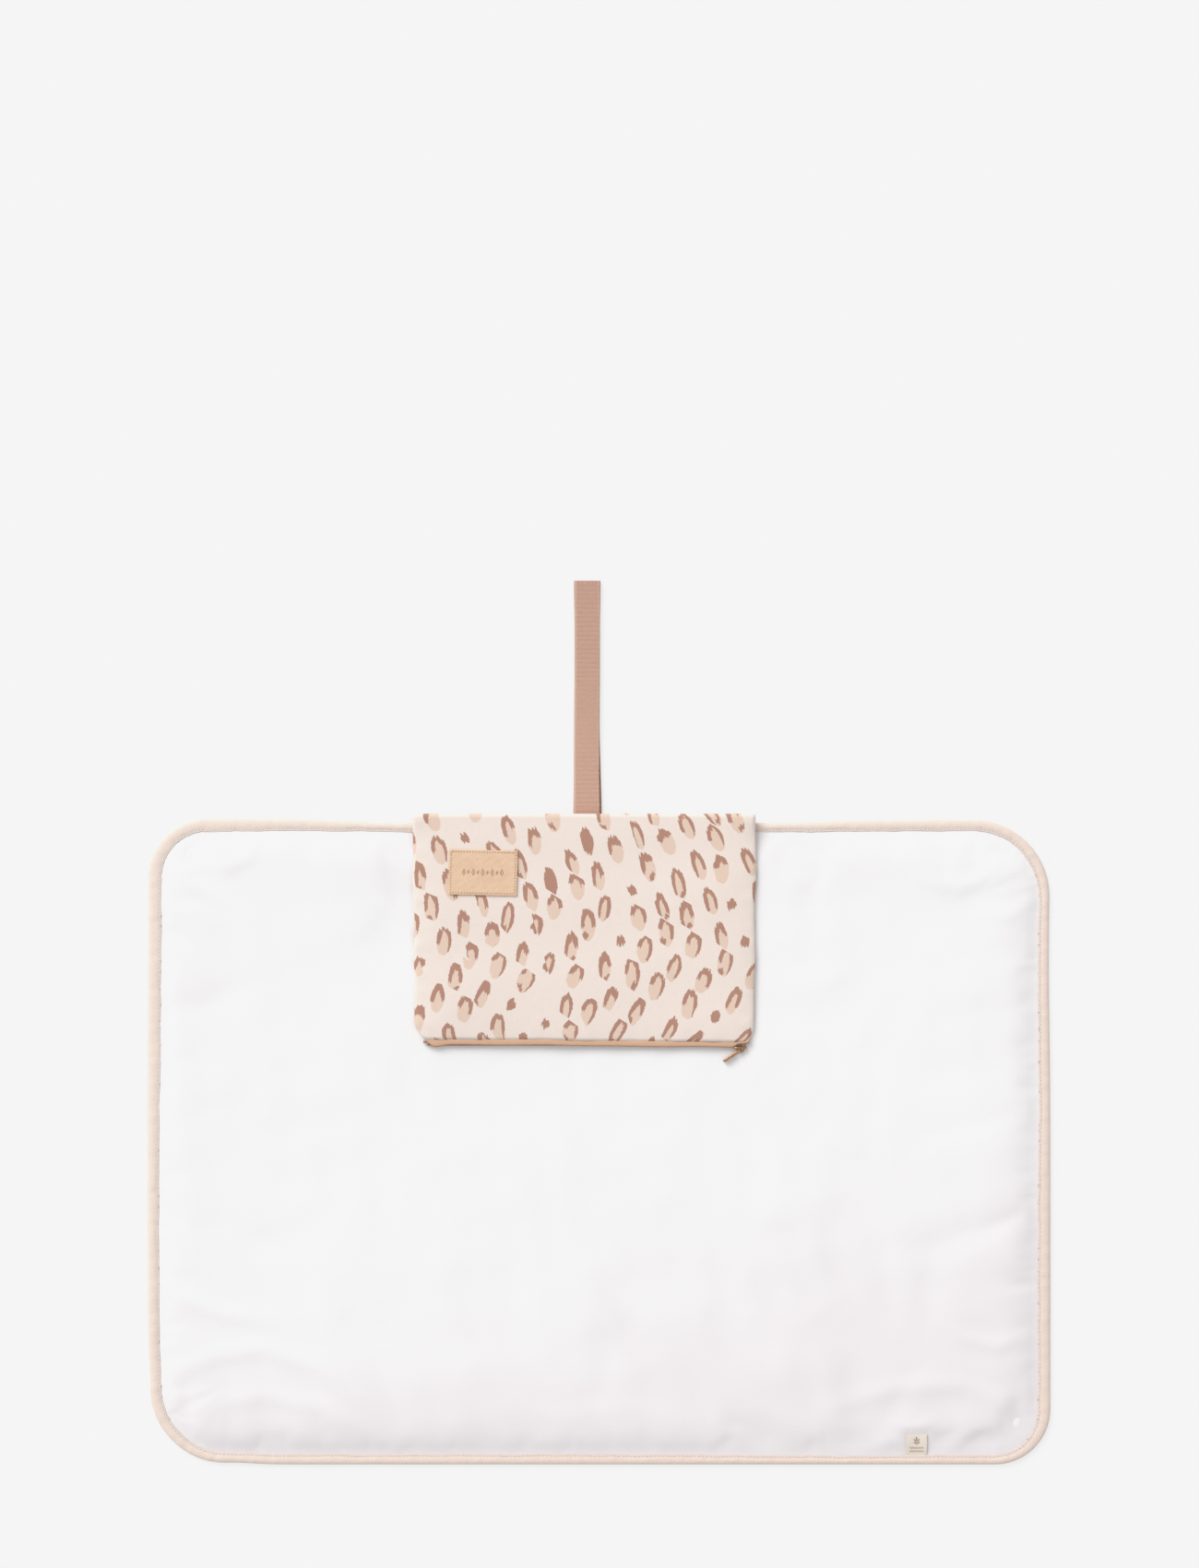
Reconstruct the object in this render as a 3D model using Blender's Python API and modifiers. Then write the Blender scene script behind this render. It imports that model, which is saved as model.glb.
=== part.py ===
# Travel changing pad: a padded mat in three folding panels with a bound edge, a zipped pouch
# that lies folded over the mat's top edge, and an elastic strap loop that holds the rolled mat.
# Metres, +Z up. The origin is the centre of the mat's underside, +X along its longer side and
# +Y towards the strap. The mat lies open, with the pouch folded onto its upper side.

import math

import bmesh
import bpy
from mathutils import Matrix, Vector

for old in list(bpy.data.objects):
    bpy.data.objects.remove(old, do_unlink=True)

GAP = 0.0003  # between pieces that touch or are sewn together
FOLD_GAP = 0.001  # between two panels at a fold line
STACK_GAP = 0.0008  # between layers that lie on each other once folded

# Mat
MAT_LENGTH = 0.700  # X
MAT_DEPTH = 0.500  # Y
MAT_HEIGHT = 0.006  # over the padding
CORNER_TOP_RIGHT = 0.060
CORNER_TOP_LEFT = 0.045
CORNER_BOTTOM_LEFT = 0.065
CORNER_BOTTOM_RIGHT = 0.042
CORNER_STEPS = 7
COVER = 0.0006  # cover cloth
BINDING_CLOTH = 0.0007
BINDING_WIDTH = 0.009
SEAM_ALLOWANCE = 0.0080  # cover cloth caught inside the binding
CUTTER_MARGIN = 0.010  # a cutter's reach past what it cuts
FILL_SCALE = 1000  # outlines are filled in millimetres, where close points stay apart

# Pouch
POUCH_X = -0.0118  # its centre line
POUCH_WIDTH = 0.266
POUCH_LENGTH = 0.173  # cloth, from the fold to the zip
POUCH_HEIGHT = 0.006
POUCH_LIFT = 0.0005  # above the mat it rests on
POUCH_TAPER = 0.0022  # each side, down to the shoulders
SHOULDER = 0.011  # from the shoulders to the mouth
TOP_CORNER_CUT = 0.002
MOUTH_X = -0.0100
MOUTH_WIDTH = 0.252
CANVAS = 0.0011
LINING = 0.0005
FOLD_MARGIN = 0.005  # from the pouch's sides to the mat's fold lines
HINGE_STRIP_DEPTH = 0.0019

# Zip
TAPE = 0.0008
TAPE_WIDTH = 0.0038
TAPE_LIP = 0.0007
TOOTH_DEPTH = 0.0018
TOOTH_HEIGHT = 0.0009
TOOTH_NOTCH = 0.0003
TOOTH_PITCH = 0.0028
TOOTH_PROUD = 0.0005  # teeth in front of the tape
STOP_LENGTH = 0.0016
SLIDER_LENGTH = 0.0096
SLIDER_HEIGHT = 0.0052
SLIDER_FRONT = 0.0014
SLIDER_BACK = 0.0012
SLIDER_WEB = 0.0006
SLIDER_WEB_LENGTH = 0.0025
SLIDER_LIP = 0.0007
SLIDER_CORNER = 0.0013
BRIDGE_LENGTH = 0.0058
BRIDGE_REACH = 0.0028
BRIDGE_WALL = 0.0008
BRIDGE_SLOPE = 0.0008  # each leg leans in by this
BRIDGE_THICK = 0.0013
PULL_LENGTH = 0.0160  # past its pivot
PULL_WIDTH = 0.0046
PULL_THICK = 0.0012
PULL_CORNER = 0.0011
PULL_WINDOW = 0.0050
PULL_ANGLE = 212.0  # degrees from +X at rest

# Label, strap and tab
LABEL_X = -0.090
LABEL_Y = 0.209
LABEL_WIDTH = 0.053
LABEL_DEPTH = 0.035
LABEL_THICK = 0.0012
LABEL_CORNER = 0.0015
LABEL_TILT = -1.3  # degrees
STRAP_X = -0.0100
STRAP_WIDTH = 0.0205
STRAP_LENGTH = 0.180
STRAP_LAYER = 0.0012
STRAP_SLOT = 0.0006
STRAP_ROOT = 0.0032
TAB_X = 0.2457
TAB_WIDTH = 0.0164
TAB_LENGTH = 0.0169
TAB_THICK = 0.0006
TAB_CORNER = 0.001
TAB_EDGE = 0.0065  # from the mat's edge to where the tab comes out

ARC_STEPS = 3  # in each round corner of a small piece
TURN_STEPS = 6  # round the outside of the strap's end

# What follows from them
BINDING_HEIGHT = 2 * BINDING_CLOTH + 2 * COVER + 3 * GAP
BACK_FLANGE_Z = BINDING_CLOTH + GAP
TOP_FLANGE_Z = BACK_FLANGE_Z + COVER + GAP
COVER_INSET = BINDING_WIDTH + GAP
FLANGE_INSET = COVER_INSET - SEAM_ALLOWANCE
PADDING_INSET = COVER_INSET + COVER + GAP
LEFT_FOLD_X = POUCH_X - POUCH_WIDTH / 2 - FOLD_MARGIN
RIGHT_FOLD_X = POUCH_X + POUCH_WIDTH / 2 + FOLD_MARGIN
STRIP_Y = MAT_DEPTH / 2 + GAP
POUCH_EDGE_Y = STRIP_Y + HINGE_STRIP_DEPTH
POUCH_HINGE_Y = POUCH_EDGE_Y + GAP
POUCH_BASE = MAT_HEIGHT + POUCH_LIFT
POUCH_TOP = POUCH_BASE + POUCH_HEIGHT
POUCH_MOUTH_Y = POUCH_EDGE_Y - POUCH_LENGTH
ZIP_Z = (POUCH_BASE + POUCH_TOP) / 2
ZIP_LEFT_X = MOUTH_X - MOUTH_WIDTH / 2
ZIP_RIGHT_X = MOUTH_X + MOUTH_WIDTH / 2
TAPE_BACK_Y = POUCH_MOUTH_Y - GAP
TAPE_FACE_Y = TAPE_BACK_Y - TAPE_WIDTH
TOOTH_FACE_Y = TAPE_FACE_Y - TOOTH_PROUD
TOOTH_BACK_Y = TOOTH_FACE_Y + TOOTH_DEPTH
TOOTH_INNER = SLIDER_WEB / 2 + GAP  # from the zip's middle plane
TOOTH_OUTER = TOOTH_INNER + TOOTH_HEIGHT
SLIDER_X = ZIP_RIGHT_X - STOP_LENGTH - GAP - SLIDER_LENGTH / 2
SLIDER_FACE_Y = TOOTH_FACE_Y - GAP - SLIDER_FRONT
SLIDER_BACK_HEIGHT = POUCH_HEIGHT - 2 * CANVAS - 2 * GAP
PULL_Y = SLIDER_FACE_Y - (BRIDGE_REACH - BRIDGE_WALL) / 2
STRAP_HEIGHT = 2 * STRAP_LAYER + STRAP_SLOT
STRAP_ROOT_Y = POUCH_HINGE_Y
STRAP_START_Y = STRAP_ROOT_Y + STRAP_ROOT + GAP
STRAP_END_Y = STRAP_START_Y + STRAP_LENGTH
EDGE_HINGE_Z = (POUCH_TOP + STRAP_HEIGHT + STACK_GAP) / 2
LEFT_HINGE_Z = (2 * EDGE_HINGE_Z + STACK_GAP + MAT_HEIGHT) / 2
RIGHT_HINGE_Z = (2 * LEFT_HINGE_Z + 2 * STACK_GAP + GAP + TAB_THICK + MAT_HEIGHT) / 2
TAB_START_Y = -MAT_DEPTH / 2 + TAB_EDGE
TAB_Z = MAT_HEIGHT + GAP

parts = bpy.data.collections.new("changing_pad")
cutters = bpy.data.collections.new("cutters")
bpy.context.scene.collection.children.link(parts)
bpy.context.scene.collection.children.link(cutters)


# Turns of a flat outline: its plane is named, and it is extruded along the third axis.
FLAT = Matrix.Identity(3)  # outline in X and Y, extruded along Z
ALONG_X = Matrix(((0, 0, 1), (1, 0, 0), (0, 1, 0)))  # outline in Y and Z
ALONG_Y = Matrix(((0, 1, 0), (0, 0, 1), (1, 0, 0)))  # outline in Z and X


def prism(outline, low, high, turn=FLAT, hole=()):
    """The closed mesh of a flat outline extruded from low to high, with a hole if one is given."""
    curve = bpy.data.curves.new("outline", "CURVE")
    curve.dimensions = "2D"
    curve.fill_mode = "BOTH"
    curve.extrude = (high - low) / 2 * FILL_SCALE
    for loop in filter(None, (outline, hole)):
        spline = curve.splines.new("POLY")
        spline.points.add(len(loop) - 1)
        for point, (u, v) in zip(spline.points, loop):
            point.co = (u * FILL_SCALE, v * FILL_SCALE, 0, 1)
        spline.use_cyclic_u = True
    holder = bpy.data.objects.new("outline", curve)
    bpy.context.scene.collection.objects.link(holder)
    graph = bpy.context.evaluated_depsgraph_get()
    mesh = bpy.data.meshes.new_from_object(holder.evaluated_get(graph))
    mesh.materials.clear()
    mesh.transform(Matrix.Scale(1 / FILL_SCALE, 4))
    mesh.transform(Matrix.Translation((0, 0, (low + high) / 2)))
    mesh.transform(turn.to_4x4())
    weld(mesh)
    bpy.data.objects.remove(holder, do_unlink=True)
    bpy.data.curves.remove(curve)
    return mesh


def weld(mesh):
    """Join an extruded outline's caps to its sides."""
    work = bmesh.new()
    work.from_mesh(mesh)
    bmesh.ops.remove_doubles(work, verts=work.verts, dist=0.00001)
    bmesh.ops.recalc_face_normals(work, faces=work.faces)
    work.to_mesh(mesh)
    work.free()


def block(x, y, z):
    """The mesh of a box, from its (low, high) along each axis."""
    mesh = bpy.data.meshes.new("block")
    size = Vector((x[1] - x[0], y[1] - y[0], z[1] - z[0]))
    middle = Vector((x[0] + x[1], y[0] + y[1], z[0] + z[1])) / 2
    work = bmesh.new()
    bmesh.ops.create_cube(work, size=1.0)
    bmesh.ops.scale(work, vec=size, verts=work.verts)
    bmesh.ops.translate(work, vec=middle, verts=work.verts)
    work.to_mesh(mesh)
    work.free()
    return mesh


def rounded(width, depth, radius):
    """A rectangle's outline about the origin, with round corners."""
    points = []
    for quarter, (side, end) in enumerate(((1, 1), (-1, 1), (-1, -1), (1, -1))):
        u = side * (width / 2 - radius)
        v = end * (depth / 2 - radius)
        points += arc(u, v, radius, 90 * quarter, 90 * quarter + 90, ARC_STEPS)
    return points


def arc(u, v, radius, start, end, steps):
    """Points from one angle to another, in degrees, about a centre."""
    turns = [math.radians(start + (end - start) * i / steps) for i in range(steps + 1)]
    return [(u + radius * math.cos(t), v + radius * math.sin(t)) for t in turns]


def linear(level):
    """A colour level from 0 to 255, as the light that a shader works in."""
    level = level / 255
    return level / 12.92 if level <= 0.04045 else ((level + 0.055) / 1.055) ** 2.4


def finish(name, colour, roughness, metallic=0.0):
    """A Principled material of one colour."""
    material = bpy.data.materials.new(name)
    material.use_nodes = True
    shader = material.node_tree.nodes["Principled BSDF"]
    shader.inputs["Base Color"].default_value = [linear(c) for c in colour] + [1.0]
    shader.inputs["Roughness"].default_value = roughness
    shader.inputs["Metallic"].default_value = metallic
    return material


def axis(name, x, y, z):
    """An empty on a joint's axis, which the pieces that move about it hang from."""
    empty = bpy.data.objects.new(name, None)
    empty.empty_display_size = 0.02
    empty.location = (x, y, z)
    parts.objects.link(empty)
    return empty


def piece(name, mesh, parent, material):
    """A named object whose mesh is already in place, hung from its joint's empty."""
    mesh.name = name
    mesh.materials.append(material)
    made = bpy.data.objects.new(name, mesh)
    parts.objects.link(made)
    hang(made, parent)
    return made


def hang(made, parent):
    bpy.context.view_layer.update()
    made.parent = parent
    made.matrix_parent_inverse = parent.matrix_world.inverted()


def cutter(name, mesh):
    made = bpy.data.objects.new(name, mesh)
    made.hide_render = True
    made.display_type = "WIRE"
    cutters.objects.link(made)
    return made


def change(made, tool, operation):
    step = made.modifiers.new(operation.title(), "BOOLEAN")
    step.solver = "EXACT"
    step.operation = operation
    step.object = tool


def mat_outline(inset):
    """The mat's outline with its four unlike corners, moved inwards."""
    corners = (
        (1, 1, CORNER_TOP_RIGHT),
        (-1, 1, CORNER_TOP_LEFT),
        (-1, -1, CORNER_BOTTOM_LEFT),
        (1, -1, CORNER_BOTTOM_RIGHT),
    )
    points = []
    for quarter, (side, end, radius) in enumerate(corners):
        u = side * (MAT_LENGTH / 2 - radius)
        v = end * (MAT_DEPTH / 2 - radius)
        start = 90 * quarter
        points += arc(u, v, radius - inset, start, start + 90, CORNER_STEPS)
    return points


def mat_slab(inset, low, high):
    return prism(mat_outline(inset), low, high)


def mat_ring(inset, low, high):
    """What lies outside the mat's outline moved inwards."""
    u = MAT_LENGTH / 2 + CUTTER_MARGIN
    v = MAT_DEPTH / 2 + CUTTER_MARGIN
    return prism([(u, v), (-u, v), (-u, -v), (u, -v)], low, high, hole=mat_outline(inset))


def panel_boxes():
    """Boxes that keep one panel of the mat each, and half of the middle one."""
    far_x = MAT_LENGTH / 2 + CUTTER_MARGIN
    far_y = MAT_DEPTH / 2 + CUTTER_MARGIN
    z = (-CUTTER_MARGIN, MAT_HEIGHT + CUTTER_MARGIN)
    left = (-far_x, LEFT_FOLD_X - FOLD_GAP / 2)
    centre = (LEFT_FOLD_X + FOLD_GAP / 2, RIGHT_FOLD_X - FOLD_GAP / 2)
    right = (RIGHT_FOLD_X + FOLD_GAP / 2, far_x)
    return {
        "left": cutter("keep_left", block(left, (-far_y, far_y), z)),
        "centre": cutter("keep_centre", block(centre, (-far_y, far_y), z)),
        "right": cutter("keep_right", block(right, (-far_y, far_y), z)),
        "top_centre": cutter("keep_top_centre", block(centre, (0, far_y), z)),
        "bottom_centre": cutter("keep_bottom_centre", block(centre, (-far_y, 0), z)),
    }


def make_mat(bodies):
    """Covers, padding and binding, each cut at the two fold lines."""
    keep = panel_boxes()
    inside = COVER_INSET + COVER
    over_flange = cutter("over_flange", mat_ring(COVER_INSET, TOP_FLANGE_Z + COVER, CUTTER_MARGIN))
    under_flange = cutter("under_flange", mat_ring(COVER_INSET, -CUTTER_MARGIN, BACK_FLANGE_Z))
    top_hollow = cutter("top_hollow", mat_slab(inside, -CUTTER_MARGIN, MAT_HEIGHT - COVER))
    back_hollow = cutter("back_hollow", mat_slab(inside, COVER, CUTTER_MARGIN))
    slot = cutter("binding_slot", mat_slab(BINDING_CLOTH, BINDING_CLOTH, BINDING_HEIGHT - BINDING_CLOTH))
    window = cutter("binding_window", mat_slab(BINDING_WIDTH, -CUTTER_MARGIN, CUTTER_MARGIN))
    padding_low = COVER + GAP
    padding_high = MAT_HEIGHT - COVER - GAP
    for side in ("left", "centre", "right"):
        body = bodies[side]
        name = "top_cover_" + side
        top = piece(name, mat_slab(FLANGE_INSET, TOP_FLANGE_Z, MAT_HEIGHT), body,
                    finish(name, (246, 244, 245), 0.55))
        change(top, keep[side], "INTERSECT")
        change(top, over_flange, "DIFFERENCE")
        change(top, top_hollow, "DIFFERENCE")
        name = "back_cover_" + side
        back = piece(name, mat_slab(FLANGE_INSET, 0, BACK_FLANGE_Z + COVER), body,
                     finish(name, (240, 226, 217), 0.85))
        change(back, keep[side], "INTERSECT")
        change(back, under_flange, "DIFFERENCE")
        change(back, back_hollow, "DIFFERENCE")
        name = "padding_" + side
        padding = piece(name, mat_slab(PADDING_INSET, padding_low, padding_high), body,
                        finish(name, (250, 250, 250), 0.95))
        change(padding, keep[side], "INTERSECT")
    binding_sides = {"left": "left", "right": "right", "top_centre": "centre", "bottom_centre": "centre"}
    for side, body in binding_sides.items():
        name = "binding_" + side
        binding = piece(name, mat_slab(0, 0, BINDING_HEIGHT), bodies[body],
                        finish(name, (235, 219, 209), 0.8))
        change(binding, keep[side], "INTERSECT")
        change(binding, window, "DIFFERENCE")
        change(binding, slot, "DIFFERENCE")


def pouch_outline(inset=0.0, past_mouth=0.0):
    """The pouch's flat outline: it tapers to its shoulders, then is pulled in to the zip."""
    half = POUCH_WIDTH / 2 - inset
    low_half = half - POUCH_TAPER
    mouth_half = MOUTH_WIDTH / 2 - inset
    top_y = POUCH_EDGE_Y - inset
    shoulder_y = POUCH_MOUTH_Y + SHOULDER
    mouth_y = POUCH_MOUTH_Y - past_mouth
    return [
        (POUCH_X + half, top_y - TOP_CORNER_CUT),
        (POUCH_X + half - TOP_CORNER_CUT, top_y),
        (POUCH_X - half + TOP_CORNER_CUT, top_y),
        (POUCH_X - half, top_y - TOP_CORNER_CUT),
        (POUCH_X - low_half, shoulder_y),
        (MOUTH_X - mouth_half, mouth_y),
        (MOUTH_X + mouth_half, mouth_y),
        (POUCH_X + low_half, shoulder_y),
    ]


def make_pouch(body):
    """Two cloth shells that meet at a seam halfway up, and a lining in each."""
    print_cloth = (240, 226, 217)
    seam_low = ZIP_Z - GAP / 2
    seam_high = ZIP_Z + GAP / 2
    inside = pouch_outline(CANVAS, CUTTER_MARGIN)
    front = piece("pouch_front", prism(pouch_outline(), seam_high, POUCH_TOP), body,
                  finish("pouch_front", print_cloth, 0.85))
    front_inside = prism(inside, POUCH_BASE, POUCH_TOP - CANVAS)
    change(front, cutter("pouch_front_inside", front_inside), "DIFFERENCE")
    back = piece("pouch_back", prism(pouch_outline(), POUCH_BASE, seam_low), body,
                 finish("pouch_back", print_cloth, 0.85))
    back_inside = prism(inside, POUCH_BASE + CANVAS, POUCH_TOP)
    change(back, cutter("pouch_back_inside", back_inside), "DIFFERENCE")
    lining_outline = pouch_outline(CANVAS + GAP)
    front_z = POUCH_TOP - CANVAS - GAP
    back_z = POUCH_BASE + CANVAS + GAP
    linings = {"front": (front_z - LINING, front_z), "back": (back_z, back_z + LINING)}
    for side, (low, high) in linings.items():
        name = "pouch_lining_" + side
        piece(name, prism(lining_outline, low, high), body, finish(name, (238, 231, 222), 0.7))


def make_hinge_strip(body):
    """The cloth that joins the pouch to the mat's top edge."""
    half = POUCH_WIDTH / 2 - TOP_CORNER_CUT
    strip = block((POUCH_X - half, POUCH_X + half), (STRIP_Y, POUCH_EDGE_Y), (0, MAT_HEIGHT))
    piece("pouch_hinge_strip", strip, body, finish("pouch_hinge_strip", (232, 215, 204), 0.85))


def tape_outline(side):
    """A tape's section: a flat leg sewn to the cloth, and a lip down to the teeth."""
    outer = ZIP_Z + side * POUCH_HEIGHT / 2
    inner = outer - side * TAPE
    lip = ZIP_Z + side * (TOOTH_OUTER + GAP)
    return [
        (TAPE_FACE_Y, outer),
        (TAPE_BACK_Y, outer),
        (TAPE_BACK_Y, inner),
        (TAPE_FACE_Y + TAPE_LIP, inner),
        (TAPE_FACE_Y + TAPE_LIP, lip),
        (TAPE_FACE_Y, lip),
    ]


def teeth_strip(side):
    """A row of teeth along X as an open strip: straight where it is sewn on, notched inside."""
    start = ZIP_LEFT_X + STOP_LENGTH + GAP
    end = ZIP_RIGHT_X - STOP_LENGTH - GAP
    steps = 2 * int((end - start) / TOOTH_PITCH)
    crest = ZIP_Z + side * TOOTH_INNER
    outer = ZIP_Z + side * TOOTH_OUTER
    mesh = bpy.data.meshes.new("teeth")
    work = bmesh.new()
    bmesh.ops.create_grid(work, x_segments=steps, y_segments=1, size=0.5)
    for vert in work.verts:
        along = vert.co.x + 0.5
        across = vert.co.y + 0.5
        notched = across < 0.5 and round(along * steps) % 2 == 0
        z = outer if across > 0.5 else crest + (side * TOOTH_NOTCH if notched else 0)
        vert.co = (start + (end - start) * along, (TOOTH_FACE_Y + TOOTH_BACK_Y) / 2, z)
    work.to_mesh(mesh)
    work.free()
    return mesh


def make_zip(body):
    """Two tapes, two rows of teeth and the stops at the ends, all facing -Y."""
    for name, side in (("front", 1), ("back", -1)):
        tape = prism(tape_outline(side), ZIP_LEFT_X, ZIP_RIGHT_X, ALONG_X)
        piece("zip_tape_" + name, tape, body, finish("zip_tape_" + name, (206, 165, 138), 0.75))
        teeth = piece("zip_teeth_" + name, teeth_strip(side), body,
                      finish("zip_teeth_" + name, (186, 138, 112), 0.4))
        solid = teeth.modifiers.new("depth", "SOLIDIFY")
        solid.thickness = TOOTH_DEPTH
        solid.offset = 0
    starts = {"left": ZIP_LEFT_X, "right": ZIP_RIGHT_X - STOP_LENGTH}
    for name, x in starts.items():
        z = (ZIP_Z - TOOTH_OUTER, ZIP_Z + TOOTH_OUTER)
        stop = block((x, x + STOP_LENGTH), (TOOTH_FACE_Y, TOOTH_BACK_Y), z)
        piece("zip_stop_" + name, stop, body, finish("zip_stop_" + name, (206, 165, 138), 0.5))


def make_slider(body):
    """A front and a back plate joined by a web at the nose, lips over the tapes, and a bridge."""
    front_y = (SLIDER_FACE_Y, SLIDER_FACE_Y + SLIDER_FRONT)
    outline = [(z + ZIP_Z, x + SLIDER_X) for z, x in rounded(SLIDER_HEIGHT, SLIDER_LENGTH, SLIDER_CORNER)]
    slider = piece("zip_slider", prism(outline, *front_y, ALONG_Y), body,
                   finish("zip_slider", (198, 152, 104), 0.28, 1.0))
    back_y = (TOOTH_BACK_Y + GAP, TOOTH_BACK_Y + GAP + SLIDER_BACK)
    half = SLIDER_LENGTH / 2 - SLIDER_CORNER
    back_z = (ZIP_Z - SLIDER_BACK_HEIGHT / 2, ZIP_Z + SLIDER_BACK_HEIGHT / 2)
    back_plate = block((SLIDER_X - half, SLIDER_X + half), back_y, back_z)
    web_x = (SLIDER_X + half - SLIDER_WEB_LENGTH, SLIDER_X + half)
    web_y = (front_y[1] - GAP, back_y[0] + GAP)
    web = block(web_x, web_y, (ZIP_Z - SLIDER_WEB / 2, ZIP_Z + SLIDER_WEB / 2))
    change(slider, cutter("slider_web", web), "UNION")
    change(slider, cutter("slider_back", back_plate), "UNION")
    lip_y = (front_y[1] - GAP, TAPE_FACE_Y - GAP)
    for name, side in (("top", 1), ("bottom", -1)):
        outer = ZIP_Z + side * (SLIDER_HEIGHT / 2 - GAP)
        ends = sorted((outer, outer - side * SLIDER_LIP))
        lip = block((SLIDER_X - half, SLIDER_X + half), lip_y, ends)
        change(slider, cutter("slider_lip_" + name, lip), "UNION")
    reach = SLIDER_FACE_Y - BRIDGE_REACH
    bridge_half = BRIDGE_LENGTH / 2
    inner_half = bridge_half - BRIDGE_WALL - BRIDGE_SLOPE / 2
    bridge = prism(
        [
            (SLIDER_X - bridge_half, SLIDER_FACE_Y + GAP),
            (SLIDER_X - bridge_half + BRIDGE_SLOPE, reach),
            (SLIDER_X + bridge_half - BRIDGE_SLOPE, reach),
            (SLIDER_X + bridge_half, SLIDER_FACE_Y + GAP),
            (SLIDER_X + bridge_half - BRIDGE_WALL, SLIDER_FACE_Y + GAP),
            (SLIDER_X + inner_half, reach + BRIDGE_WALL),
            (SLIDER_X - inner_half, reach + BRIDGE_WALL),
            (SLIDER_X - bridge_half + BRIDGE_WALL, SLIDER_FACE_Y + GAP),
        ],
        ZIP_Z - BRIDGE_THICK / 2,
        ZIP_Z + BRIDGE_THICK / 2,
    )
    change(slider, cutter("slider_bridge", bridge), "UNION")


def make_pull(body):
    """A flat plate with a window, whose end bar lies under the slider's bridge."""
    bar = PULL_THICK / 2
    plate = rounded(PULL_WIDTH, PULL_LENGTH + bar, PULL_CORNER)
    plate = [(z, x + (PULL_LENGTH - bar) / 2) for z, x in plate]
    pull = piece("zip_pull", prism(plate, -bar, bar, ALONG_Y), body,
                 finish("zip_pull", (198, 152, 104), 0.28, 1.0))
    pull.matrix_parent_inverse = Matrix.Identity(4)
    pull.rotation_euler.z = math.radians(PULL_ANGLE)
    window_half = BRIDGE_THICK / 2 + GAP
    window = cutter("pull_window", block((bar, bar + PULL_WINDOW), (-2 * bar, 2 * bar),
                                         (-window_half, window_half)))
    window.parent = body
    window.rotation_euler.z = pull.rotation_euler.z
    change(pull, window, "DIFFERENCE")


def make_label(body):
    outline = rounded(LABEL_WIDTH, LABEL_DEPTH, LABEL_CORNER)
    low = POUCH_TOP + GAP
    label = piece("leather_label", prism(outline, 0, LABEL_THICK), body,
                  finish("leather_label", (232, 200, 172), 0.5))
    label.location = (LABEL_X, LABEL_Y, low)
    label.rotation_euler.z = math.radians(LABEL_TILT)


def make_strap(root_body, loop_body):
    """The sewn ends of the elastic, and the loop that they carry: one band folded back."""
    x = (STRAP_X - STRAP_WIDTH / 2, STRAP_X + STRAP_WIDTH / 2)
    colour = (200, 160, 142)
    root = block(x, (STRAP_ROOT_Y, STRAP_ROOT_Y + STRAP_ROOT), (0, STRAP_HEIGHT))
    piece("strap_root", root, root_body, finish("strap_root", colour, 0.7))
    outer = STRAP_HEIGHT / 2
    inner = STRAP_SLOT / 2
    turn_y = STRAP_END_Y - outer
    section = arc(turn_y, outer, outer, -90, 90, TURN_STEPS)
    section += [(STRAP_START_Y, STRAP_HEIGHT), (STRAP_START_Y, outer + inner)]
    section += arc(turn_y, outer, inner, 90, -90, TURN_STEPS)
    section += [(STRAP_START_Y, outer - inner), (STRAP_START_Y, 0)]
    piece("strap_loop", prism(section, *x, ALONG_X), loop_body, finish("strap_loop", colour, 0.7))


def make_tab(body):
    """A woven tab that comes out of the mat's lower binding and lies on the cover."""
    outline = rounded(TAB_WIDTH, TAB_LENGTH, TAB_CORNER)
    middle = TAB_START_Y + TAB_LENGTH / 2
    outline = [(u + TAB_X, v + middle) for u, v in outline]
    piece("care_tab", prism(outline, TAB_Z, TAB_Z + TAB_THICK), body,
          finish("care_tab", (235, 228, 216), 0.8))


centre = axis("mat_centre", 0, 0, 0)
left_wing = axis("left_wing_fold", LEFT_FOLD_X, 0, LEFT_HINGE_Z)
right_wing = axis("right_wing_fold", RIGHT_FOLD_X, 0, RIGHT_HINGE_Z)
pouch = axis("pouch_flap", POUCH_X, POUCH_HINGE_Y, EDGE_HINGE_Z)
strap = axis("strap_swing", STRAP_X, STRAP_START_Y, EDGE_HINGE_Z)
slide = axis("zip_slide", SLIDER_X, SLIDER_FACE_Y, ZIP_Z)
swing = axis("pull_swing", SLIDER_X, PULL_Y, ZIP_Z)
flip = axis("tab_flip", TAB_X, TAB_START_Y - GAP, MAT_HEIGHT)
hang(slide, pouch)
hang(swing, slide)
hang(flip, right_wing)

make_mat({"left": left_wing, "centre": centre, "right": right_wing})
make_hinge_strip(centre)
make_pouch(pouch)
make_zip(pouch)
make_slider(slide)
make_pull(swing)
make_label(pouch)
make_strap(centre, strap)
make_tab(flip)
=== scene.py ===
import math

import bmesh
import bpy
import numpy as np
from mathutils import Matrix, Vector
from mathutils.kdtree import KDTree


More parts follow.
